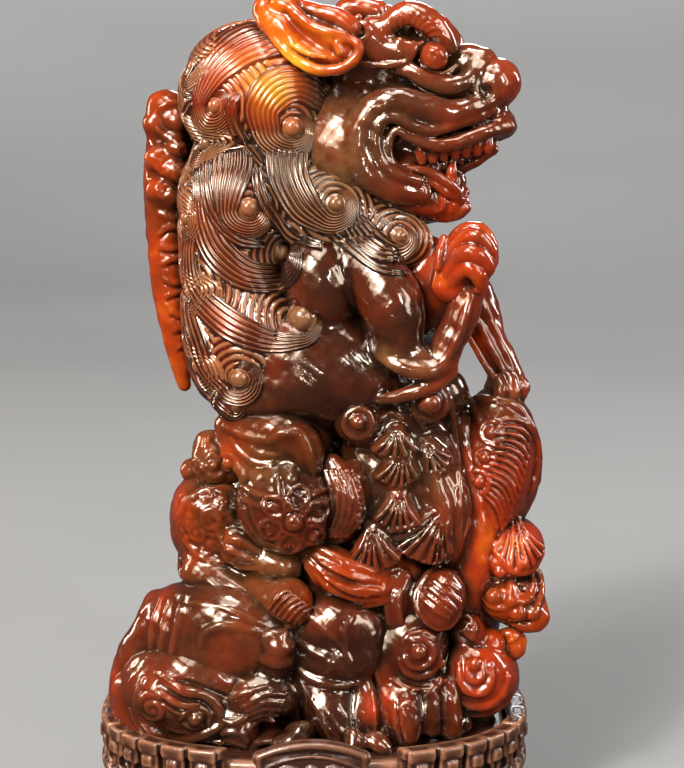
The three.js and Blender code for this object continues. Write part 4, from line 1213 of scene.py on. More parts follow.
def front_low():
    carve(
        "sash_fold", ["sash_fold"], "amber_orange", 0.4,
        add(ball((12, -13, 66), (15, 8, 8))),
        add(rope((-1, -18, 73.5, 3.4), (3, -20, 70.5, 5), (7.5, -21, 67.5, 5.6), (13, -20, 65, 5),
                 (17, -18, 63.5, 3.6)), 2),
        draw([(-1.5, 75.75, 0.7), (3.5, 73.5, 0.9), (9.25, 71, 0.9), (15.5, 68.5, 0.8), (20.25, 68.5, 0.6)],
             [(-1.25, 69.5, 0.6), (2, 64.5, 0.9), (7.5, 61.25, 0.9), (14, 60.5, 0.8), (18, 61.5, 0.6)],
             [(1.75, 71.5, 0.4), (7.5, 68.75, 0.6), (13.5, 65.75, 0.5)],
             [(3, 68, 0.4), (8, 65, 0.6), (13, 63, 0.4)], blend=0.9),
        scratch([(-1.25, 72.75, 0.5), (3, 69.5, 0.8), (8.75, 67, 0.8), (16.5, 65.5, 0.5)],
                [(0.25, 69.5, 0.4), (4, 66, 0.7), (9.75, 63, 0.7), (16, 62.5, 0.4)],
                blend=0.8),
        step=0.42,
    )
    claws = [[(26.5, 61.5, 0.5), (29.25, 59.5, 0.8), (32, 57.5, 0.5)],
             [(27, 63, 0.5), (30, 60.75, 0.85), (33, 58.5, 0.5)],
             [(27.75, 64.5, 0.5), (31, 62, 0.85), (34, 59.25, 0.5)],
             [(28.75, 66, 0.5), (32, 63.5, 0.85), (34.5, 61.25, 0.5)],
             [(30.25, 67, 0.5), (32.5, 65.25, 0.7), (34.5, 63.5, 0.5)]]
    carve(
        "lower_paw", ["lower_paw"], "amber_dark", 0.1,
        add(ball((30, -16, 60), (6.4, 7, 8.4), (0, 16, 0))),
        add(rope((21, -17, 66.5, 2.8), (19.5, -18, 62, 3.4), (19.5, -18, 55.5, 3.4), (21.5, -18, 52, 2.6)),
            1.5),
        fill(1.0, 0.2),
        draw(*claws, blend=0.2, proud=0.9),
        draw([(30.5, 69.25, 0.6), (27, 66.5, 0.9), (24.25, 61.5, 0.9), (26.5, 56.75, 0.8),
              (30.25, 54.25, 0.7), (34, 56.25, 0.7), (35, 60.75, 0.6)], blend=0.4),
        draw([(22.75, 66.75, 0.6), (20.75, 62.5, 0.8), (20.5, 58.25, 0.9), (21.75, 53.75, 0.7)],
             [(18.75, 66, 0.5), (17.5, 61.25, 0.7), (18, 55.75, 0.6)], blend=0.5),
        step=0.38,
    )
    carve(
        "cloud_scroll_front", ["cloud_scroll_front"], "amber_red", 0.1,
        add(ball((23, -15, 49), (9.5, 8, 10))),
        add(ball((22, -16, 37), (10, 7.5, 9)), 2),
        add(ball((25, -19, 48.5), (5.6, 5.0, 5.6)), 1.5),
        add([rope((17, -18, 51, 3), (16.5, -19, 45.5, 3.4), (18, -19, 40, 3.2)),
             rope((18, -20, 39, 3.2), (18, -21, 34, 3.4), (19, -22, 28.5, 3)),
             rope((22, -22, 37.5, 3.4), (22.5, -24, 34, 3.8), (22.5, -24.5, 30, 3)),
             rope((28, -20, 39.5, 3), (28, -21.5, 35.5, 3.2), (28.5, -22, 31, 2.6)),
             rope((32.5, -18, 39.5, 2.8), (32.5, -19, 34.5, 3.2), (33, -20, 29.5, 2.8))], 1.0),
        fill(1.0, 0.3),
        draw(ring(25, 49, 3.4, 0.9, 3.4, 0.75, 200, 1), blend=0.3, fallback=-24),
        draw(bead(25, 49.5, 1.9), blend=0.3, proud=0.8),
        draw([(20.5, 47.5, 0.7), (22.25, 44.5, 1.2), (25.25, 43.25, 1.4), (28.5, 44.5, 1.2),
              (30.25, 47.5, 0.7)], blend=0.3),
        draw([(21.25, 51.5, 0.5), (23, 53.25, 0.8), (26, 53.75, 0.9), (29, 52.25, 0.7)], blend=0.4),
        draw(bead(30.5, 45.75, 1.3), bead(30, 41.75, 1.1), blend=0.4),
        draw([(19, 42.5, 0.6), (22.75, 40.5, 0.9), (27.5, 40, 0.8), (31.75, 41.5, 0.6)], blend=0.5),
        draw([(20.5, 36.5, 0.6), (22.25, 38, 0.9), (24.25, 36.25, 0.7)],
             [(26.5, 38.5, 0.5), (28.25, 39.75, 0.7), (29.75, 38, 0.5)], blend=0.4),
        scratch([(25.5, 39.5, 0.5), (26, 35, 0.6), (26, 30, 0.5)],
                [(30.5, 39, 0.5), (30.75, 34.5, 0.6), (31, 30, 0.5)],
                [(20, 38.5, 0.5), (20, 33.5, 0.6), (21, 28.5, 0.5)], blend=0.4),
        draw([(16, 49, 0.5), (15, 45.5, 0.7), (15.75, 41.5, 0.5)], blend=0.4),
        step=0.4,
    )
    carve(
        "cloud_scroll_right", ["cloud_scroll_right"], "amber_red", 0.2,
        add(ball((39.5, -8, 39), (11, 12, 9.5))),
        add(ball((39, -15, 42), (8.0, 6, 7.4)), 2),
        add([ball((43, -12, 48.5), (3.6, 3.6, 3.2)), ball((37.5, -13, 51.5), (4.2, 4, 4.6))], 1.2),
        fill(1.0, 0.2),
        draw([(35, 45.5, 0.7), (35.5, 41.5, 1.2), (37.5, 39, 1.4), (40.5, 39, 1.4), (42.5, 41.5, 1.2),
              (42.5, 45, 0.8)], blend=0.3, fallback=-20),
        draw([(37, 46, 0.5), (37, 43, 0.9), (38.75, 41.5, 1), (40.5, 42.75, 0.9), (40.5, 46, 0.5)],
             blend=0.3, fallback=-20),
        draw(bead(38.75, 45.5, 1.6), blend=0.3, proud=0.8),
        draw([(33.75, 37.5, 0.7), (37.25, 35.25, 1.3), (41.5, 35, 1.5), (45.25, 37.5, 1.3),
              (47, 41.5, 0.9)], blend=0.4, fallback=-18),
        draw([(34.25, 33.5, 0.7), (39, 31.75, 1.1), (45, 33.25, 1), (48.25, 36.5, 0.8)], blend=0.5,
             fallback=-16),
        draw([(35, 54.75, 0.5), (37, 55.75, 0.8), (39, 53.75, 0.7), (38.5, 51, 0.5)], blend=0.4),
        scratch([(35.5, 51.5, 0.5), (38, 49.5, 0.6), (41, 49, 0.5)], blend=0.4),
        step=0.4,
    )
    carve(
        "pearl", ["pearl"], "amber_orange", 0.4,
        add(ball((48.4, -7.5, 46), (3.9, 3.9, 3.6))),
        add(rope((46, -8, 49, 1.6), (48.5, -9, 49.5, 2), (51, -8, 48, 1.6)), 1.2),
        draw([(44, 49.5, 0.5), (46.5, 48, 0.7), (49.25, 49, 0.5)], blend=0.4, fallback=-11),
        step=0.35,
    )
    carve(
        "rock_front", ["rock_front"], "amber_dark", 0.02,
        add(ball((5.5, -13, 53), (14, 10, 13))),
        add(rope((-1.5, -18, 54, 5.5), (5, -20, 56, 6), (11.5, -19, 53.5, 5.5)), 3),
        add(rope((-2, -19, 47, 5), (5, -21, 47, 5.5), (11.5, -20, 47.5, 5)), 3),
        add(ball((3, -17, 38), (11, 9, 9.5)), 2),
        add(rope((2, -22, 39, 5), (4.5, -24, 35, 5.4), (6.5, -25, 30.5, 4.6)), 1.5),
        add(rope((11.5, -21, 40.5, 3.2), (12.5, -23, 34.5, 3.6), (12.5, -24, 28.5, 3.2)), 1.0),
        fill(1.2, 0.3),
        draw([(-3.25, 45.5, 0.7), (-0.25, 43.5, 1.1), (4, 42.25, 1.1), (8.25, 41.75, 1),
              (10.75, 42.25, 0.6)], blend=0.5),
        draw([(-0.75, 58.25, 0.5), (2.5, 55.75, 0.8), (6.5, 52.25, 0.8), (8.75, 47.75, 0.5)],
             [(9.25, 58.25, 0.4), (7.5, 55.25, 0.6), (8, 51.5, 0.5)],
             [(-3, 52.25, 0.4), (-0.25, 50, 0.6), (3, 49, 0.5)], blend=0.8, proud=0.4),
        draw([(-0.25, 39, 0.5), (2, 35.5, 0.8), (4, 31, 0.8), (6, 27, 0.5)], blend=0.7, proud=0.5),
        draw([(4, 36, 0.35), (6, 33, 0.5), (8, 31, 0.4)], [(3.5, 34, 0.35), (5.5, 31, 0.5), (7, 29, 0.4)],
             blend=0.3),
        scratch([(9.75, 41, 0.6), (9.25, 35.5, 0.8), (10.25, 29, 0.7)],
                [(-2.75, 39, 0.9), (-2.25, 33.5, 1.2), (-0.75, 28, 1)], blend=0.5),
        draw([(14, 40, 0.5), (14.5, 34.5, 0.7), (14.5, 28, 0.6)], blend=0.4),
        step=0.42,
    )


def right_and_back():
    wall = add(ball((37.5, 3, 70), (10.8, 14, 37)))
    wall += add(rope((35, -4, 99.5, 4.5), (36.5, -6, 90, 5), (38, -7, 78, 5.5), (38, -8, 65.5, 5.5),
                     (36.5, -8, 57, 4.5)), 4)
    wall += add(lumps(11, (38, 6, 66), (10, 12.5, 34), 24, (1.6, 3.4), (0.5, 2.4), (-1.1, 1.0)), 1.8)
    curls = []
    for z, y, start in ((92, 13.5, 40), (74, 15.5, 200), (57, 15, 320)):
        curls += add(coil((41, y, z), outer=4.0, inner=0.9, turns=1.5, radius=1.2, start=start), 0.6)
    carve("rock_right", ["rock_right"], "amber_red", 0.5, wall, fill(1.4, 0.2), curls, step=0.5)

    back = add(ball((2, 12, 76), (27, 15.5, 31.5)))
    back += add(lumps(21, (2, 13, 74), (26, 15, 30), 34, (3.0, 6.5), (0.1, 3.1), (-0.9, 1.0)), 2.5)
    curls = []
    # a hind leg and its paw on the far side
    back += add(rope((-6, 15, 104, 6), (2, 21, 98, 5.5), (4, 24, 90, 4.2)), 2.5)
    curls += add(paw((5, 25.5, 86), 3.4, (0.2, 0.75, -0.65), (0, 0.6, 0.8)), 0.6)
    carve("rock_back", ["rock_back"], "amber_dark", 0.12, back, fill(1.8, 0.2), curls,
          *scrolls([(-14, 66, 4.6, 30, 1), (6, 74, 5.0, 150, -1), (20, 90, 4.2, 200, 1),
                    (-9, 93, 4.4, 300, -1), (21, 62, 4.2, 90, 1), (3, 58, 4.4, 10, 1), (-15, 80, 3.4, 0, 1),
                    (24, 76, 3.2, 220, -1)], 1.0),
          comb((-3, 86), [(-8, 77), (-3, 74), (2, 76)], 6, fallback=24, behind=True),
          comb((13, 87), [(8, 78), (13, 75), (19, 79)], 6, fallback=24, behind=True),
          comb((13, 69), [(9, 60), (13, 57), (17, 60)], 5, fallback=24, behind=True),
          comb((-6, 67), [(-10, 58), (-6, 55), (-2, 58)], 5, fallback=24, behind=True), step=0.46)

    clouds = add(ball((16, 20, 42), (14, 9.5, 12.5)))
    clouds += add(ball((-14, 20, 44), (15, 9.5, 14)), 3)
    clouds += add([rope((-30, 17, 34, 2.4), (-16, 27, 32, 2.6), (2, 29, 31.8, 2.4), (18, 26.5, 32, 2.6),
                        (30, 18, 34, 2.2))], 1)
    carve("cloud_scroll_back", ["cloud_scroll_back"], "amber_red", 0.2, clouds, fill(1.4, 0.2),
          *scrolls([(20, 44, 5.4, 20, 1), (8, 37, 4.4, 160, -1), (-8, 46, 5.6, 200, 1),
                    (-20, 38, 4.4, 80, -1), (-19, 52, 3.8, 300, 1),
                    (27, 36, 3.4, 240, -1)], 1.1), step=0.44)

    ground = add([ball((10, 4, 28.5), (34, 24, 3.5)), ball((-16, -2, 28.5), (26, 26, 3.5))], 2)
    ground += add(lumps(31, (0, 0, 29), (42, 31, 2.0), 46, (2.0, 4.2), (-math.pi, math.pi), (-0.6, 0.6)), 1.2)
    carve("carved_ground", ["carved_ground"], "amber_dark", 0.1, ground, step=0.6)


# ---- the stand: every part follows one superellipse in plan ----
HALF = ((high.x - low.x) / 2 / MM + 5, (high.y - low.y) / 2 / MM + 5)
SQUARENESS = 2.5
RIM_BEND, CARTOUCHE_BEND = 0.42, 0.33
QUARTER = math.pi / 2


def outline(angle, inset):
    c, s = math.cos(angle), math.sin(angle)
    power = 2 / SQUARENESS
    return np.array([(HALF[0] - inset) * math.copysign(abs(c) ** power, c),
                     (HALF[1] - inset) * math.copysign(abs(s) ** power, s)])


def plan_distance(x, y, inset):
    a, b = HALF[0] - inset, HALF[1] - inset
    u, v = np.abs(x) / a, np.abs(y) / b
    f = np.maximum((u**SQUARENESS + v**SQUARENESS), 1e-6) ** (1 / SQUARENESS)
    gx = (u / f) ** (SQUARENESS - 1) / a
    gy = (v / f) ** (SQUARENESS - 1) / b
    return (f - 1) / np.maximum(np.sqrt(gx**2 + gy**2), 0.5 / max(a, b))


def slab(bottom, top, inset, hollow=None, soften=0.5):
    """A slice of the stand, solid or a band of some depth, with softened edges."""
    reach = np.array([HALF[0] - inset, HALF[1] - inset, 0]) + 0.5

    def distance(x, y, z):
        side = plan_distance(x, y, inset) + soften
        if hollow:
            side = np.maximum(side, soften - plan_distance(x, y, inset + hollow))
        level = np.maximum(bottom - z, z - top) + soften
        out = np.sqrt(np.maximum(side, 0) ** 2 + np.maximum(level, 0) ** 2)
        return np.minimum(np.maximum(side, level), 0) + out - soften

    return np.array([-reach[0], -reach[1], bottom]), np.array([reach[0], reach[1], top]), distance


def block(at, half, turn=0.0, soften=0.3):
    """A box with softened edges, turned about the vertical."""
    c, s = math.cos(turn), math.sin(turn)
    at, half = np.array(at, float), np.array(half, float)
    reach = np.array([abs(c) * half[0] + abs(s) * half[1], abs(s) * half[0] + abs(c) * half[1], half[2]])

    def distance(x, y, z):
        dx, dy = x - at[0], y - at[1]
        q = [np.abs(c * dx + s * dy) - half[0] + soften, np.abs(c * dy - s * dx) - half[1] + soften,
             np.abs(z - at[2]) - half[2] + soften]
        out = np.sqrt(sum(np.maximum(v, 0) ** 2 for v in q))
        return out + np.minimum(np.maximum(np.maximum(q[0], q[1]), q[2]), 0) - soften

    return at - reach, at + reach, distance


def between(first, last):
    """Keeps only what lies between two plan angles."""
    reach = np.array([HALF[0] + 1, HALF[1] + 1, 40])

    def distance(x, y, z):
        p = SQUARENESS / 2
        t = np.arctan2(np.sign(y) * (np.abs(y) / HALF[1]) ** p, np.sign(x) * (np.abs(x) / HALF[0]) ** p)
        middle = (first + last) / 2
        off = np.abs((t - middle + math.pi) % (2 * math.pi) - math.pi)
        return ((last - first) / 2 - off) * 0.5 * (HALF[0] + HALF[1]) * 0.8 + 0 * z

    return -reach, reach, distance


def along(angle):
    """The outline's direction at a plan angle, as an angle."""
    step = outline(angle + 0.01, 0) - outline(angle - 0.01, 0)
    return math.atan2(step[1], step[0])


def rim(name, first, last):
    steps = add(slab(18.2, 28.6, 0.5, 4.2))
    steps += add(slab(27.6, 30.8, 0.0, 4.4, 0.7), 0.3)
    steps += add(slab(18.0, 20.4, 0.0, 4.4, 0.5), 0.3)
    pitch = (last - first) / 5
    for i in range(6):
        angle = first + pitch * i
        turn = along(angle)
        # the upright slot of the key fret, its crossing, and the notch in the lip
        for bottom, top, width in ((20.0, 28.2, 0.75), (21.6, 24.0, 1.7), (28.0, 31.5, 0.55)):
            on_top = bottom >= 28
            at = outline(angle, -0.4 if on_top else 0.3)
            half = (width, 1.5 if on_top else 2.4, (top - bottom) / 2)
            steps += cut(block((*at, (bottom + top) / 2), half, turn), 0.3)
        if i < 5:
            angle = first + pitch * (i + 0.5)
            at = outline(angle, 0.3)
            steps += add(block((*at, 26.0), (1.5, 0.65, 1.5), along(angle), 0.5), 0.3)
            steps += cut(block((*at, 22.6), (0.45, 1.2, 1.8), along(angle), 0.2), 0.3)
            at = outline(angle, 2.2)
            steps += cut(block((*at, 31.4), (2.0, 1.2, 0.9), along(angle), 0.3), 0.4)
    ends = [outline(a, inset) for a in np.linspace(first, last, 7) for inset in (0, 4.6)]
    box_low = np.array([*np.min(ends, axis=0), 17.5]) - 1.5
    box_high = np.array([*np.max(ends, axis=0), 31.5]) + 1.5
    clay = Clay(box_low, box_high, 0.5)
    for kind, shape, blend in steps:
        clay.shape(kind, shape, blend)
    clay.shape("cut", between(first + 0.004, last - 0.004), 0.3)
    v, quads = clay.skin(0)
    keep(name, [name], "hardwood", v, quads)


def stand():
    carve("stand_top", ["stand_top"], "hardwood", 0, add(slab(17.4, 26.8, 5.2, soften=1.0)),
          add(slab(17.3, 19.4, 4.7, soften=0.8), 0.6), step=0.8, rounds=0)
    waist = add(slab(12.2, 17.3, 8.2, soften=0.8))
    for i in range(36):
        angle = 2 * math.pi * (i + 0.5) / 36
        waist += add(block((*outline(angle, 7.9), 14.7), (2.3, 0.6, 1.5), along(angle), 0.5), 0.3)
    carve("stand_waist", ["stand_waist"], "hardwood", 0, waist, step=0.6, rounds=0)
    carve("stand_rail", ["stand_rail"], "hardwood", 0, add(slab(7.3, 10.2, 2.6, soften=1.2)),
          add(slab(9.0, 12.0, 4.6, soften=1.0), 0.8), step=0.65, rounds=0)
    for i, corner in enumerate(("back_right", "back_left", "front_left", "front_right")):
        middle = QUARTER * (i + 0.5)
        foot = []
        for k in range(-4, 5):
            angle = middle + k * 0.045
            drop = 7.0 * (1 - 0.5 * (abs(k) / 4.6) ** 2.4)
            foot += add(block((*outline(angle, 5.5), 7.2 - drop / 2), (2.2, 4.0, drop / 2), along(angle),
                              0.9), 1.2)
        at = outline(middle, 2.2)
        turn = along(middle)
        foot += add(coil((*at, 3.9), outer=2.4, inner=0.6, turns=1.5, radius=0.6, start=60,
                         across=(math.cos(turn), math.sin(turn), 0)), 0.5)
        carve(f"stand_foot_{corner}", [f"stand_foot_{corner}"], "hardwood", 0, foot, step=0.5, rounds=0)
        even = i % 2 == 0
        rim(f"stand_rim_{corner}", QUARTER * i + (RIM_BEND if even else CARTOUCHE_BEND),
            QUARTER * (i + 1) - (CARTOUCHE_BEND if even else RIM_BEND))
    rim("stand_rim_right", -RIM_BEND, RIM_BEND)
    rim("stand_rim_left", math.pi - RIM_BEND, math.pi + RIM_BEND)
    for word, side in (("front", -1), ("back", 1)):
        y = side * (HALF[1] - 2.4)
        face = side * (HALF[1] - 0.4)

        def curve(height, radius, half=12.0):
            return rope(*[(x * half, face, height + 2.6 * (1 - x * x), radius)
                          for x in np.linspace(-1, 1, 9)])

        panel = add(block((0, y, 22.6), (12.3, 2.0, 7.4), 0, 0.6))
        panel += add(rope(*[(x * 12, y, 29.2 + 2.8 * (1 - x * x), 1.7) for x in np.linspace(-1, 1, 7)]), 1.5)
        panel += add(curve(30.2, 0.8), 0.4)
        panel += add(curve(27.6, 0.45, half=10.5), 0.3)
        panel += add([strand(0.8, (-11.9, face, 30), (-11.9, face, 16)),
                      strand(0.8, (11.9, face, 30), (11.9, face, 16)),
                      strand(0.8, (-11.9, face, 16), (11.9, face, 16))], 0.4)
        for x, sense, start in ((-5.4, 1, 60), (5.4, -1, 120)):
            panel += add(coil((x, face, 24.2), outer=3.3, inner=0.7, turns=1.7, radius=0.75, start=start,
                              sense=sense), 0.35)
        panel += add([coil((0, face, 20.2), outer=2.3, inner=0.6, turns=1.5, radius=0.6, start=90),
                      strand(0.6, (-9.6, face, 19), (-6, face, 20.4), (-3, face, 18.4)),
                      strand(0.6, (9.6, face, 19), (6, face, 20.4), (3, face, 18.4)),
                      strand(0.6, (-2.2, face, 25.4), (0, face, 27.6), (2.2, face, 25.4))], 0.35)
        carve(f"stand_cartouche_{word}", [f"stand_cartouche_{word}"], "hardwood", 0, panel, step=0.36,
              rounds=0)


def core():
    """The uncut ground of the block, which fills in behind and between all the carved parts."""
    clay = Clay((-46, -36, 29), (60, 34, 116), 0.8)
    shape = clay.field.shape
    axes = [clay.low[i] + clay.step * np.arange(shape[i]) for i in range(3)]
    points = np.stack(np.meshgrid(*axes, indexing="ij"), -1).reshape(-1, 3)
    merged = ball((8, 0, 62), (25, 16, 31))[2](*points.T)
    for piece in PIECES:
        part, (turned, shift) = piece["clay"], piece["place"]
        if part is None or piece["slot"] == "hardwood":
            continue
        near = ((points > piece["v"].min(0) - 2) & (points < piece["v"].max(0) + 2)).all(1)
        i = np.round(((points[near] - shift) @ turned - part.low) / part.step).astype(int)
        ok = ((i >= 0) & (i < part.field.shape)).all(1)
        found = np.full(len(i), 9.0)
        i = i[ok]
        found[ok] = part.field[i[:, 0], i[:, 1], i[:, 2]]
        merged[near] = np.minimum(merged[near], found)
    clay.field = blurred(np.clip(merged, -REACH, REACH).reshape(shape).astype(np.float32), 3, 2) + 1.0
    clay.field[:, :, -4:] = REACH
    clay.field[:, :, :2] = REACH
    v, quads = clay.skin(1)
    keep("rock_core", ["rock_core"], "amber_dark", v, quads, clay=clay)


# ---- what each point of the surface is like: how thin it is, for the painted glow, how it curves, for worn colour with painted sheen and painted crease shade, and how closed in it is, for painted shade ----
GRID = 1.2  # mm


def occupancy():
    lows, highs = np.array([-60.0, -48, 20]), np.array([64.0, 48, 208])
    size = np.ceil((highs - lows) / GRID).astype(int)
    axes = [lows[i] + GRID * np.arange(size[i]) for i in range(3)]
    points = np.stack(np.meshgrid(*axes, indexing="ij"), -1).reshape(-1, 3)
    full = np.zeros(len(points), bool)
    for piece in PIECES:
        if piece["clay"] is None:
            continue
        turned, shift = piece["place"]
        v = piece["v"]
        near = ((points > v.min(0) - 1) & (points < v.max(0) + 1)).all(1)
        full[near] |= piece["clay"].inside((points[near] - shift) @ turned)
    return lows, full.reshape(size).astype(np.float32)


def sampled(lows, field, points):
    i = np.clip(((points - lows) / GRID), 0, np.array(field.shape) - 1.001)
    a = i.astype(int)
    t = i - a
    out = 0
    for dx in (0, 1):
        for dy in (0, 1):
            for dz in (0, 1):
                share = np.where(dx, t[:, 0], 1 - t[:, 0]) * np.where(dy, t[:, 1], 1 - t[:, 1])
                share = share * np.where(dz, t[:, 2], 1 - t[:, 2])
                out = out + share * field[a[:, 0] + dx, a[:, 1] + dy, a[:, 2] + dz]
    return out


def hand_worn(v, wave, depth):
    """The slight unevenness that hand carving leaves: a few crossing waves."""
    turns = np.random.default_rng(12)
    rise = np.zeros(len(v))
    for _ in range(9):
        direction = turns.normal(size=3)
        direction *= turns.uniform(0.7, 1.7) / wave * 2 * math.pi / np.linalg.norm(direction)
        rise += np.sin(v @ direction + turns.uniform(0, 6.28))
    return rise * depth / 2.1


def surface_facts():
    lows, full = occupancy()
    wide, close = blurred(full, 5), blurred(full, 1)
    for piece in PIECES:
        v, quads = piece["v"], piece["quads"]
        n = normals_of(v, quads)
        deep = sampled(lows, wide, v - n * 2.0)
        piece["thin"] = np.clip((0.56 - deep) / 0.46, 0, 1)
        # painted shade: how closed in by nearby stone the surface is, used to darken its colour
        piece["hidden"] = np.clip((sampled(lows, close, v + n * 1.0) - 0.30) / 0.35, 0, 1)
        smooth = relax(v, quads, 3)
        curve = ((v - neighbour_mean(smooth, quads)) * n).sum(1)
        for _ in range(2):
            curve = neighbour_mean(curve[:, None], quads)[:, 0] * 0.5 + curve * 0.5
        piece["ridge"] = np.clip(curve / 0.12, -1, 1)
        if piece["slot"] != "hardwood" and not piece["hair"]:
            piece["v"] = v + n * (hand_worn(v, 5.0, 0.06) + hand_worn(v, 2.3, 0.012))[:, None]


# ---- materials ----
class Nodes:
    """A short way to lay out a node material."""

    def __init__(self, name):
        self.material = bpy.data.materials.new(name)
        self.material.use_nodes = True
        self.tree = self.material.node_tree
        self.tree.nodes.clear()

    def make(self, kind, **inputs):
        node = self.tree.nodes.new(kind)
        for key, value in inputs.items():
            if key.startswith("_"):
                setattr(node, key[1:], value)
                continue
            numbered = key[0] == "i" and key[1:].isdigit()
            socket = node.inputs[int(key[1:]) if numbered else key.replace("_", " ")]
            if isinstance(value, bpy.types.NodeSocket):
                self.tree.links.new(value, socket)
            else:
                socket.default_value = value
        return node

    def attribute(self, name):
        return self.make("ShaderNodeAttribute", _attribute_name=name).outputs["Fac"]

    def math(self, operation, a, b=0.0, c=0.0, clamp=False):
        return self.make("ShaderNodeMath", _operation=operation, _use_clamp=clamp, i0=a, i1=b,
                         i2=c).outputs[0]

    def mix(self, share, a, b):
        node = self.make("ShaderNodeMix", _data_type="RGBA", i0=share, i6=a, i7=b)
        return node.outputs[2]

    def ramp(self, share, stops):
        node = self.make("ShaderNodeValToRGB", Fac=share)
        ramp = node.color_ramp
        while len(ramp.elements) < len(stops):
            ramp.elements.new(0.5)
        for element, (at, colour) in zip(ramp.elements, stops):
            element.position = at
            element.color = (*colour, 1)
        return node.outputs["Color"]

    def noise(self, where, scale, detail=3, rough=0.55, stretch=None):
        if stretch:
            where = self.make("ShaderNodeMapping", Vector=where, Scale=stretch).outputs[0]
        return self.make("ShaderNodeTexNoise", Vector=where, Scale=scale, Detail=detail,
                         Roughness=rough).outputs["Fac"]


# Painted glow: soft spots where the stone's colour is made paler and more orange, as if light shone through
# it: (x, y, z, reach) and how much.
PAINTED_GLOWS = [
    ((-3, -17, 191.5, 13), 0.28), ((-14.5, -16, 187.5, 14), 0.36), ((-6.5, -18, 177.5, 9), 0.42),
    ((20.5, -8, 195.5, 11), 0.26), ((28.5, -8, 189, 5), 0.35), ((44.5, -4, 183, 7), 0.22),
    ((22.5, -8, 168.5, 8), 0.32), ((31.5, -5, 154.5, 8), 0.36), ((-36, 2, 163, 20), 0.06),
    ((-35, 2, 136, 26), 0.16), ((35.5, -20, 141.5, 8), 0.26), ((26.5, -12, 139, 9), 0.5),
    ((22.5, 8, 199.5, 10), 0.2), ((-28, -10, 76, 15), 0.18), ((-17.5, -16, 96, 6), 0.4),
    ((38.5, -4, 87, 16), 0.32), ((38.5, -4, 67, 16), 0.36), ((7.5, -20, 68, 12), 0.24),
    ((52, -5, 57.5, 13), 0.14), ((15, -26, 37.5, 6), 0.4), ((40, -20, 39, 9), 0.24),
    ((-42.5, -14, 37, 11), 0.3), ((-11.5, -24, 62, 10), 0.1), ((45.5, -10, 48.5, 8), 0.12),
    ((-20, -20, 154.5, 14), 0.1), ((-19, -20, 125.5, 16), 0.16), ((26.5, -26, 53, 10), 0.14),
    ((41, 0, 121.5, 10), 0.1), ((-36, 14, 62, 16), 0.3), ((-22, 24, 40, 14), 0.25), ((24, 22, 56, 15), 0.3),
    ((10, 26, 92, 10), 0.2),
]
# Painted golden sheen: spots where the stone is coloured golden or bronze to stand for a warm reflection and,
# at thin edges, for glow: (x, y, z, reach) and how much.
PAINTED_GOLD_SHEEN = [
    ((4, -16, 174.5, 12), 0.5), ((6, -14, 163, 9), 0.4), ((26.5, -10, 177, 10), 0.2),
    ((17, -25, 119, 3), 1.0), ((26, -26, 118, 4), 0.6), ((20, -10, 196.5, 9), 0.3),
    ((-25.5, -12, 95.5, 7), 0.45), ((-12, -22, 93, 7), 0.45), ((-8, -20, 71, 6), 0.6),
    ((-19, -22, 56.5, 14), 0.12), ((-29, -24, 38, 13), 0.16), ((30, -20, 90, 6), 0.3),
    ((20, -24, 93.5, 14), 0.2), ((45.5, -4, 112, 8), 0.5), ((-15, -22, 59, 8), 0.15),
    ((-23.5, -14, 78, 9), 0.12), ((39.5, -8, 185, 7), 0.3),
]
# The colour ramp of the painted glow and shade: from the darkest, most shaded depth of the stone to where the
# most light is painted as coming through.
AMBER_STOPS = [
    (0.0, (0.006, 0.0015, 0.001)), (0.2, (0.022, 0.0035, 0.0015)), (0.4, (0.08, 0.008, 0.002)),
    (0.6, (0.21, 0.014, 0.0015)), (0.8, (0.40, 0.06, 0.003)), (1.0, (0.66, 0.22, 0.016)),
]
BRONZE_WEAR_AND_SHEEN = (0.21, 0.09, 0.035, 1)  # worn high places, partly a painted sheen
COMBED_DARK, COMBED_LIT = (0.19, 0.095, 0.045, 1), (0.42, 0.15, 0.045, 1)  # the crests of the combed mane: worn and partly a painted sheen, paler with the painted glow
# the colour of the painted golden sheen
GOLD_SHEEN_COLOUR = (0.13, 0.053, 0.018, 1)
# the colour of the painted shade in creases and hollows
CREVICE_SHADE = (0.014, 0.005, 0.003, 1)


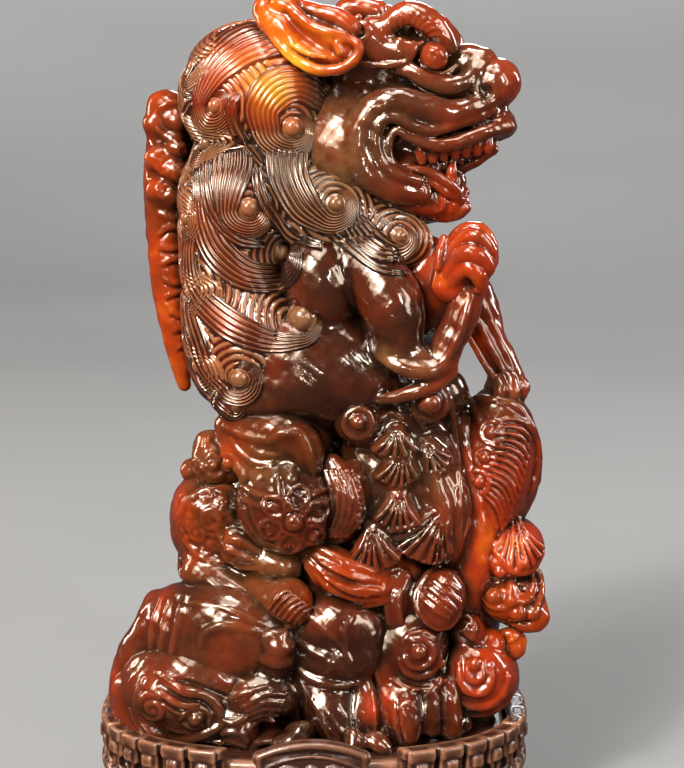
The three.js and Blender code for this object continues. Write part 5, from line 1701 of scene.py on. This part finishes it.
def amber(name, lift, hair, gold, shine):
    """The stone: lift adds to its painted glow, hair is for the combed mane, gold yellows it, shine polishes
    it.
    """
    n = Nodes(name)
    where = n.make("ShaderNodeTexCoord").outputs["Object"]
    cloud = n.noise(where, 75, 4)
    fine = n.noise(where, 420, 5, 0.6)
    light = n.attribute("light")
    ridge = n.attribute("ridge")
    hidden = n.attribute("hidden")
    # the ramp's share: a random cloudy tone plus the painted glow
    share = n.math("MULTIPLY_ADD", n.math("SUBTRACT", cloud, 0.5), 0.75, light)
    share = n.math("ADD", share, lift)
    # painted shade: darker where the surface is closed in by nearby stone
    share = n.math("MULTIPLY_ADD", hidden, -0.34, share, clamp=True)
    colour = n.ramp(share, [(at, (r, g * gold, b)) for at, (r, g, b) in AMBER_STOPS])
    # worn and painted sheen: paler bronze on convex ridges, partly real wear and partly a painted highlight
    crest = n.math("MINIMUM", ridge, 0.5)
    top = n.math("MULTIPLY_ADD", crest, 1.1 if hair else 0.5, 0.15 if hair else 0.05, clamp=True)
    worn_and_sheen = n.math("MULTIPLY", top, n.math("MULTIPLY_ADD", fine, 1.3, 0.2), clamp=True)
    worn_and_sheen = n.math("MULTIPLY", worn_and_sheen, 0.7 if hair else 0.3, clamp=True)
    bronze = n.mix(light, COMBED_DARK, COMBED_LIT) if hair else BRONZE_WEAR_AND_SHEEN
    colour = n.mix(worn_and_sheen, colour, bronze)
    # painted golden sheen: the colour goes golden at the given spots, broken up by fine noise
    gilt = n.math("MULTIPLY", n.attribute("gilt"), n.math("MULTIPLY_ADD", fine, 2.4, -0.5, clamp=True),
                  clamp=True)
    colour = n.mix(gilt, colour, GOLD_SHEEN_COLOUR)
    # painted shade: darker in the concave creases
    crevice_shade = n.math("MULTIPLY", n.math("MULTIPLY", ridge, -1.0, clamp=True), 0.92 if hair else 0.85)
    colour = n.mix(crevice_shade, colour, CREVICE_SHADE)
    rough = n.math("MULTIPLY_ADD", fine, 0.20, 0.05)
    scratches = n.noise(where, 1500, 2, 0.5, (1, 0.25, 1))
    height = n.math("ADD", n.math("MULTIPLY", fine, 0.7), n.math("MULTIPLY", scratches, 0.3))
    bump = n.make("ShaderNodeBump", Strength=0.3, Distance=0.0004, Height=height).outputs[0]
    shader = n.make(
        "ShaderNodeBsdfPrincipled", Base_Color=colour, Roughness=rough, IOR=1.54, Normal=bump,
        Specular_IOR_Level=0.26 * shine, Specular_Tint=(1.0, 0.80, 0.60, 1),
        Coat_Weight=0.30 * shine, Coat_Roughness=0.03, Coat_IOR=1.5,
        Subsurface_Weight=0.12, Subsurface_Radius=(1.0, 0.12, 0.02), Subsurface_Scale=0.003,
    )
    n.make("ShaderNodeOutputMaterial", Surface=shader.outputs[0])
    return n.material


def hardwood():
    n = Nodes("hardwood")
    where = n.make("ShaderNodeTexCoord").outputs["Object"]
    grain = n.noise(where, 90, 6, 0.6, (0.6, 4.0, 5.0))
    pores = n.noise(where, 700, 3, 0.6, (0.25, 3.0, 3.0))
    colour = n.ramp(grain, [(0.25, (0.009, 0.003, 0.002)), (0.5, (0.028, 0.008, 0.0038)),
                            (0.75, (0.062, 0.019, 0.009))])
    ridge = n.attribute("ridge")
    # rubbed edges: paler on convex ridges, partly real wear and partly a painted highlight
    worn_and_sheen = n.math("MULTIPLY", n.math("MULTIPLY_ADD", ridge, 0.9, 0.0, clamp=True),
                  n.math("MULTIPLY_ADD", grain, 1.4, 0.1), clamp=True)
    colour = n.mix(worn_and_sheen, colour, (0.19, 0.080, 0.040, 1))
    # painted shade: darker in the concave slots and creases
    crevice_shade = n.math("MULTIPLY", n.math("MULTIPLY", ridge, -1.0, clamp=True), 0.9)
    colour = n.mix(crevice_shade, colour, (0.008, 0.004, 0.003, 1))
    rough = n.math("MULTIPLY_ADD", pores, 0.25, 0.18)
    bump = n.make("ShaderNodeBump", Strength=0.35, Distance=0.0003, Height=pores).outputs[0]
    shader = n.make("ShaderNodeBsdfPrincipled", Base_Color=colour, Roughness=rough, IOR=1.5, Normal=bump,
                    Specular_IOR_Level=0.26, Coat_Weight=0.18, Coat_Roughness=0.12)
    n.make("ShaderNodeOutputMaterial", Surface=shader.outputs[0])
    return n.material


def stage_paper():
    n = Nodes("stage_paper")
    where = n.make("ShaderNodeTexCoord").outputs["Object"]
    height = n.make("ShaderNodeSeparateXYZ", Vector=where).outputs["Z"]
    # painted light: the paper is darker on the floor and paler up the curved wall, to even out the lamps'
    # light, which is stronger on the floor
    share = n.math("MULTIPLY_ADD", height, 1.8, n.math("MULTIPLY", n.noise(where, 3, 3), 0.15), clamp=True)
    colour = n.ramp(share, [(0.0, (0.122, 0.124, 0.126)), (1.0, (0.335, 0.340, 0.346))])
    shader = n.make("ShaderNodeBsdfPrincipled", Base_Color=colour, Roughness=0.9)
    n.make("ShaderNodeOutputMaterial", Surface=shader.outputs[0])
    return n.material


def spots(v, places):
    """The sum over soft round spots, each (x, y, z, reach) and an amount."""
    return sum(amount * np.exp(-((v - (x, y, z)) ** 2).sum(1) / reach**2)
               for (x, y, z, reach), amount in places)


def show(piece, materials):
    """Makes the Blender object of a piece and fixes it to its body."""
    mesh = bpy.data.meshes.new(piece["name"])
    v = (piece["v"] * MM + ORIGIN).astype(np.float32)
    quads = piece["quads"].astype(np.int32)
    mesh.vertices.add(len(v))
    mesh.vertices.foreach_set("co", v.ravel())
    mesh.loops.add(quads.size)
    mesh.loops.foreach_set("vertex_index", quads.ravel())
    mesh.polygons.add(len(quads))
    mesh.polygons.foreach_set("loop_start", np.arange(0, quads.size, 4, dtype=np.int32))
    mesh.polygons.foreach_set("use_smooth", np.ones(len(quads), bool))
    # painted glow: the colour is paler where the stone is thin, where the piece is given a painted glow, and
    # at the painted glow spots
    light = 0.14 + piece["thin"] * 0.3 + piece["glow"] * 0.25
    light = np.clip(light + spots(piece["v"], PAINTED_GLOWS), 0, 1)
    # painted golden sheen at the given spots
    gilt = sum(amount * np.exp(-((piece["v"] - (x, y, z)) ** 2).sum(1) / reach**2) for (x, y, z, reach),
               amount in PAINTED_GOLD_SHEEN)
    for name, values in (("light", light), ("gilt", gilt), ("ridge", piece["ridge"]),
                         ("hidden", piece["hidden"])):
        mesh.attributes.new(name, "FLOAT", "POINT").data.foreach_set("value", values.astype(np.float32))
    mesh.update()
    mesh.materials.append(materials[piece["slot"]])
    piece_object = bpy.data.objects.new(piece["name"], mesh)
    bpy.context.scene.collection.objects.link(piece_object)
    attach(piece_object, "stand" if piece["slot"] == "hardwood" else "carving")
    if piece["nodes"]:
        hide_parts(*piece["nodes"])


# ---- the stage, the lights and the camera: from here on in metres ----
MIDDLE = (0, 0, 0.11)
DAYLIGHT, COOL = (1.0, 0.98, 0.95), (0.95, 0.97, 1.0)


def stage():
    """A round floor that curves up far out, so that no edge shows from any side."""
    profile = [(0.002, 0), (0.3, 0), (0.7, 0), (1.1, 0.0), (1.5, 0.04), (1.85, 0.18), (2.1, 0.45),
               (2.25, 0.8), (2.3, 1.2)]
    count = 72
    verts = [(r * math.cos(2 * math.pi * i / count), r * math.sin(2 * math.pi * i / count), z)
             for r, z in profile for i in range(count)]
    faces = [tuple(range(count))]
    for row in range(len(profile) - 1):
        for i in range(count):
            j = (i + 1) % count
            faces.append((row * count + j, row * count + i, (row + 1) * count + i, (row + 1) * count + j))
    mesh = bpy.data.meshes.new("stage_floor")
    mesh.from_pydata(verts, [], faces)
    for polygon in mesh.polygons:
        polygon.use_smooth = True
    mesh.materials.append(stage_paper())
    floor = bpy.data.objects.new("stage_floor", mesh)
    bpy.context.scene.collection.objects.link(floor)
    floor.visible_glossy = False  # the carving mirrors the dim room and the lamps, not the paper


def lamp(name, at, size, power, colour, only_shine=False):
    """A rectangular lamp that faces the middle of the carving."""
    data = bpy.data.lights.new(name, "AREA")
    data.shape = "RECTANGLE"
    data.size, data.size_y = size
    data.energy = power
    data.color = colour
    lamp_object = bpy.data.objects.new(name, data)
    lamp_object.location = at
    lamp_object.rotation_euler = (Vector(MIDDLE) - Vector(at)).to_track_quat("-Z", "Y").to_euler()
    lamp_object.visible_diffuse = not only_shine  # a card that is only there for the stone to mirror
    bpy.context.scene.collection.objects.link(lamp_object)


def lights():
    lamp("key_window", (-0.85, -1.35, 1.25), (0.62, 0.82), 72, DAYLIGHT)
    lamp("key_core", (-0.80, -1.30, 1.22), (0.16, 0.22), 34, DAYLIGHT)
    lamp("front_fill", (0.95, -1.35, 0.75), (0.10, 0.5), 13, COOL)
    lamp("top_soft", (0.1, -0.15, 1.7), (0.16, 0.4), 14, DAYLIGHT)
    lamp("right_rim", (1.3, 0.45, 0.6), (0.10, 0.8), 20, (1.0, 0.97, 0.92))
    lamp("left_rim", (-1.3, 0.55, 0.6), (0.10, 0.8), 15, (1.0, 0.86, 0.68))
    lamp("back_fill", (0.2, 1.6, 1.0), (0.4, 0.4), 11, (0.97, 0.98, 1.0))
    lamp("low_glint", (-0.25, -1.6, 0.35), (0.06, 0.06), 5, DAYLIGHT)
    lamp("card_left", (-1.0, -1.4, 1.2), (1.25, 1.4), 72, (1.0, 0.86, 0.72), True)
    lamp("card_right", (1.5, -0.9, 0.75), (0.45, 1.3), 30, (1.0, 0.93, 0.85), True)
    lamp("card_top", (0.0, -0.55, 1.8), (0.9, 0.7), 30, (1.0, 0.92, 0.83), True)
    world = bpy.data.worlds.new("studio")
    world.use_nodes = True
    world.node_tree.nodes["Background"].inputs[0].default_value = (0.86, 0.89, 0.95, 1)
    world.node_tree.nodes["Background"].inputs[1].default_value = 0.10
    bpy.context.scene.world = world
    bpy.context.scene.view_settings.view_transform = "Standard"


CAMERA_AT = (0.0069, -0.400, 0.160)  # from the table under the stand's middle
LOOKS_DOWN = 7.05  # degrees
LENS = 76.6


def camera():
    data = bpy.data.cameras.new("camera")
    data.sensor_width = 36
    data.lens = LENS
    data.clip_start = 0.01
    camera_object = bpy.data.objects.new("camera", data)
    camera_object.location = Vector(ORIGIN) + Vector(CAMERA_AT)
    camera_object.rotation_euler = (math.radians(90 - LOOKS_DOWN), 0, 0)
    bpy.context.scene.collection.objects.link(camera_object)
    bpy.context.scene.camera = camera_object


# ---- everything together ----
def joined_tree(*names):
    """The surface of some pieces, for laying the locks on."""
    parts = [p for p in PIECES if p["name"] in names]
    offsets = np.cumsum([0] + [len(p["v"]) for p in parts[:-1]])
    v = np.vstack([p["v"] for p in parts])
    quads = np.vstack([p["quads"] + o for p, o in zip(parts, offsets)])
    return BVHTree.FromPolygons(v.tolist(), quads.tolist())


camera()
lights()
stage()
head()
body()
mane_base()
mane_tree = joined_tree("mane_base", "lion_body")
comb_base(mane_tree)
locks(mane_tree)
ball_and_legs()
tufted_leg()
left_cub()
climbing_cub()
crouching_beast()
front_low()
right_and_back()
core()
stand()
surface_facts()
# amber_orange is a paler, yellower copy of the stone: a painted glow for the thin parts that light shines
# through
SLOTS = {
    "amber_dark": amber("amber_dark", 0.02, False, 1.1, 1.35),
    "amber_red": amber("amber_red", 0.05, False, 1.1, 0.95),
    "amber_orange": amber("amber_orange", 0.06, False, 1.4, 0.75),
    "amber_hair": amber("amber_hair", -0.01, True, 1.2, 1.1),
    "hardwood": hardwood(),
}
for piece in PIECES:
    show(piece, SLOTS)
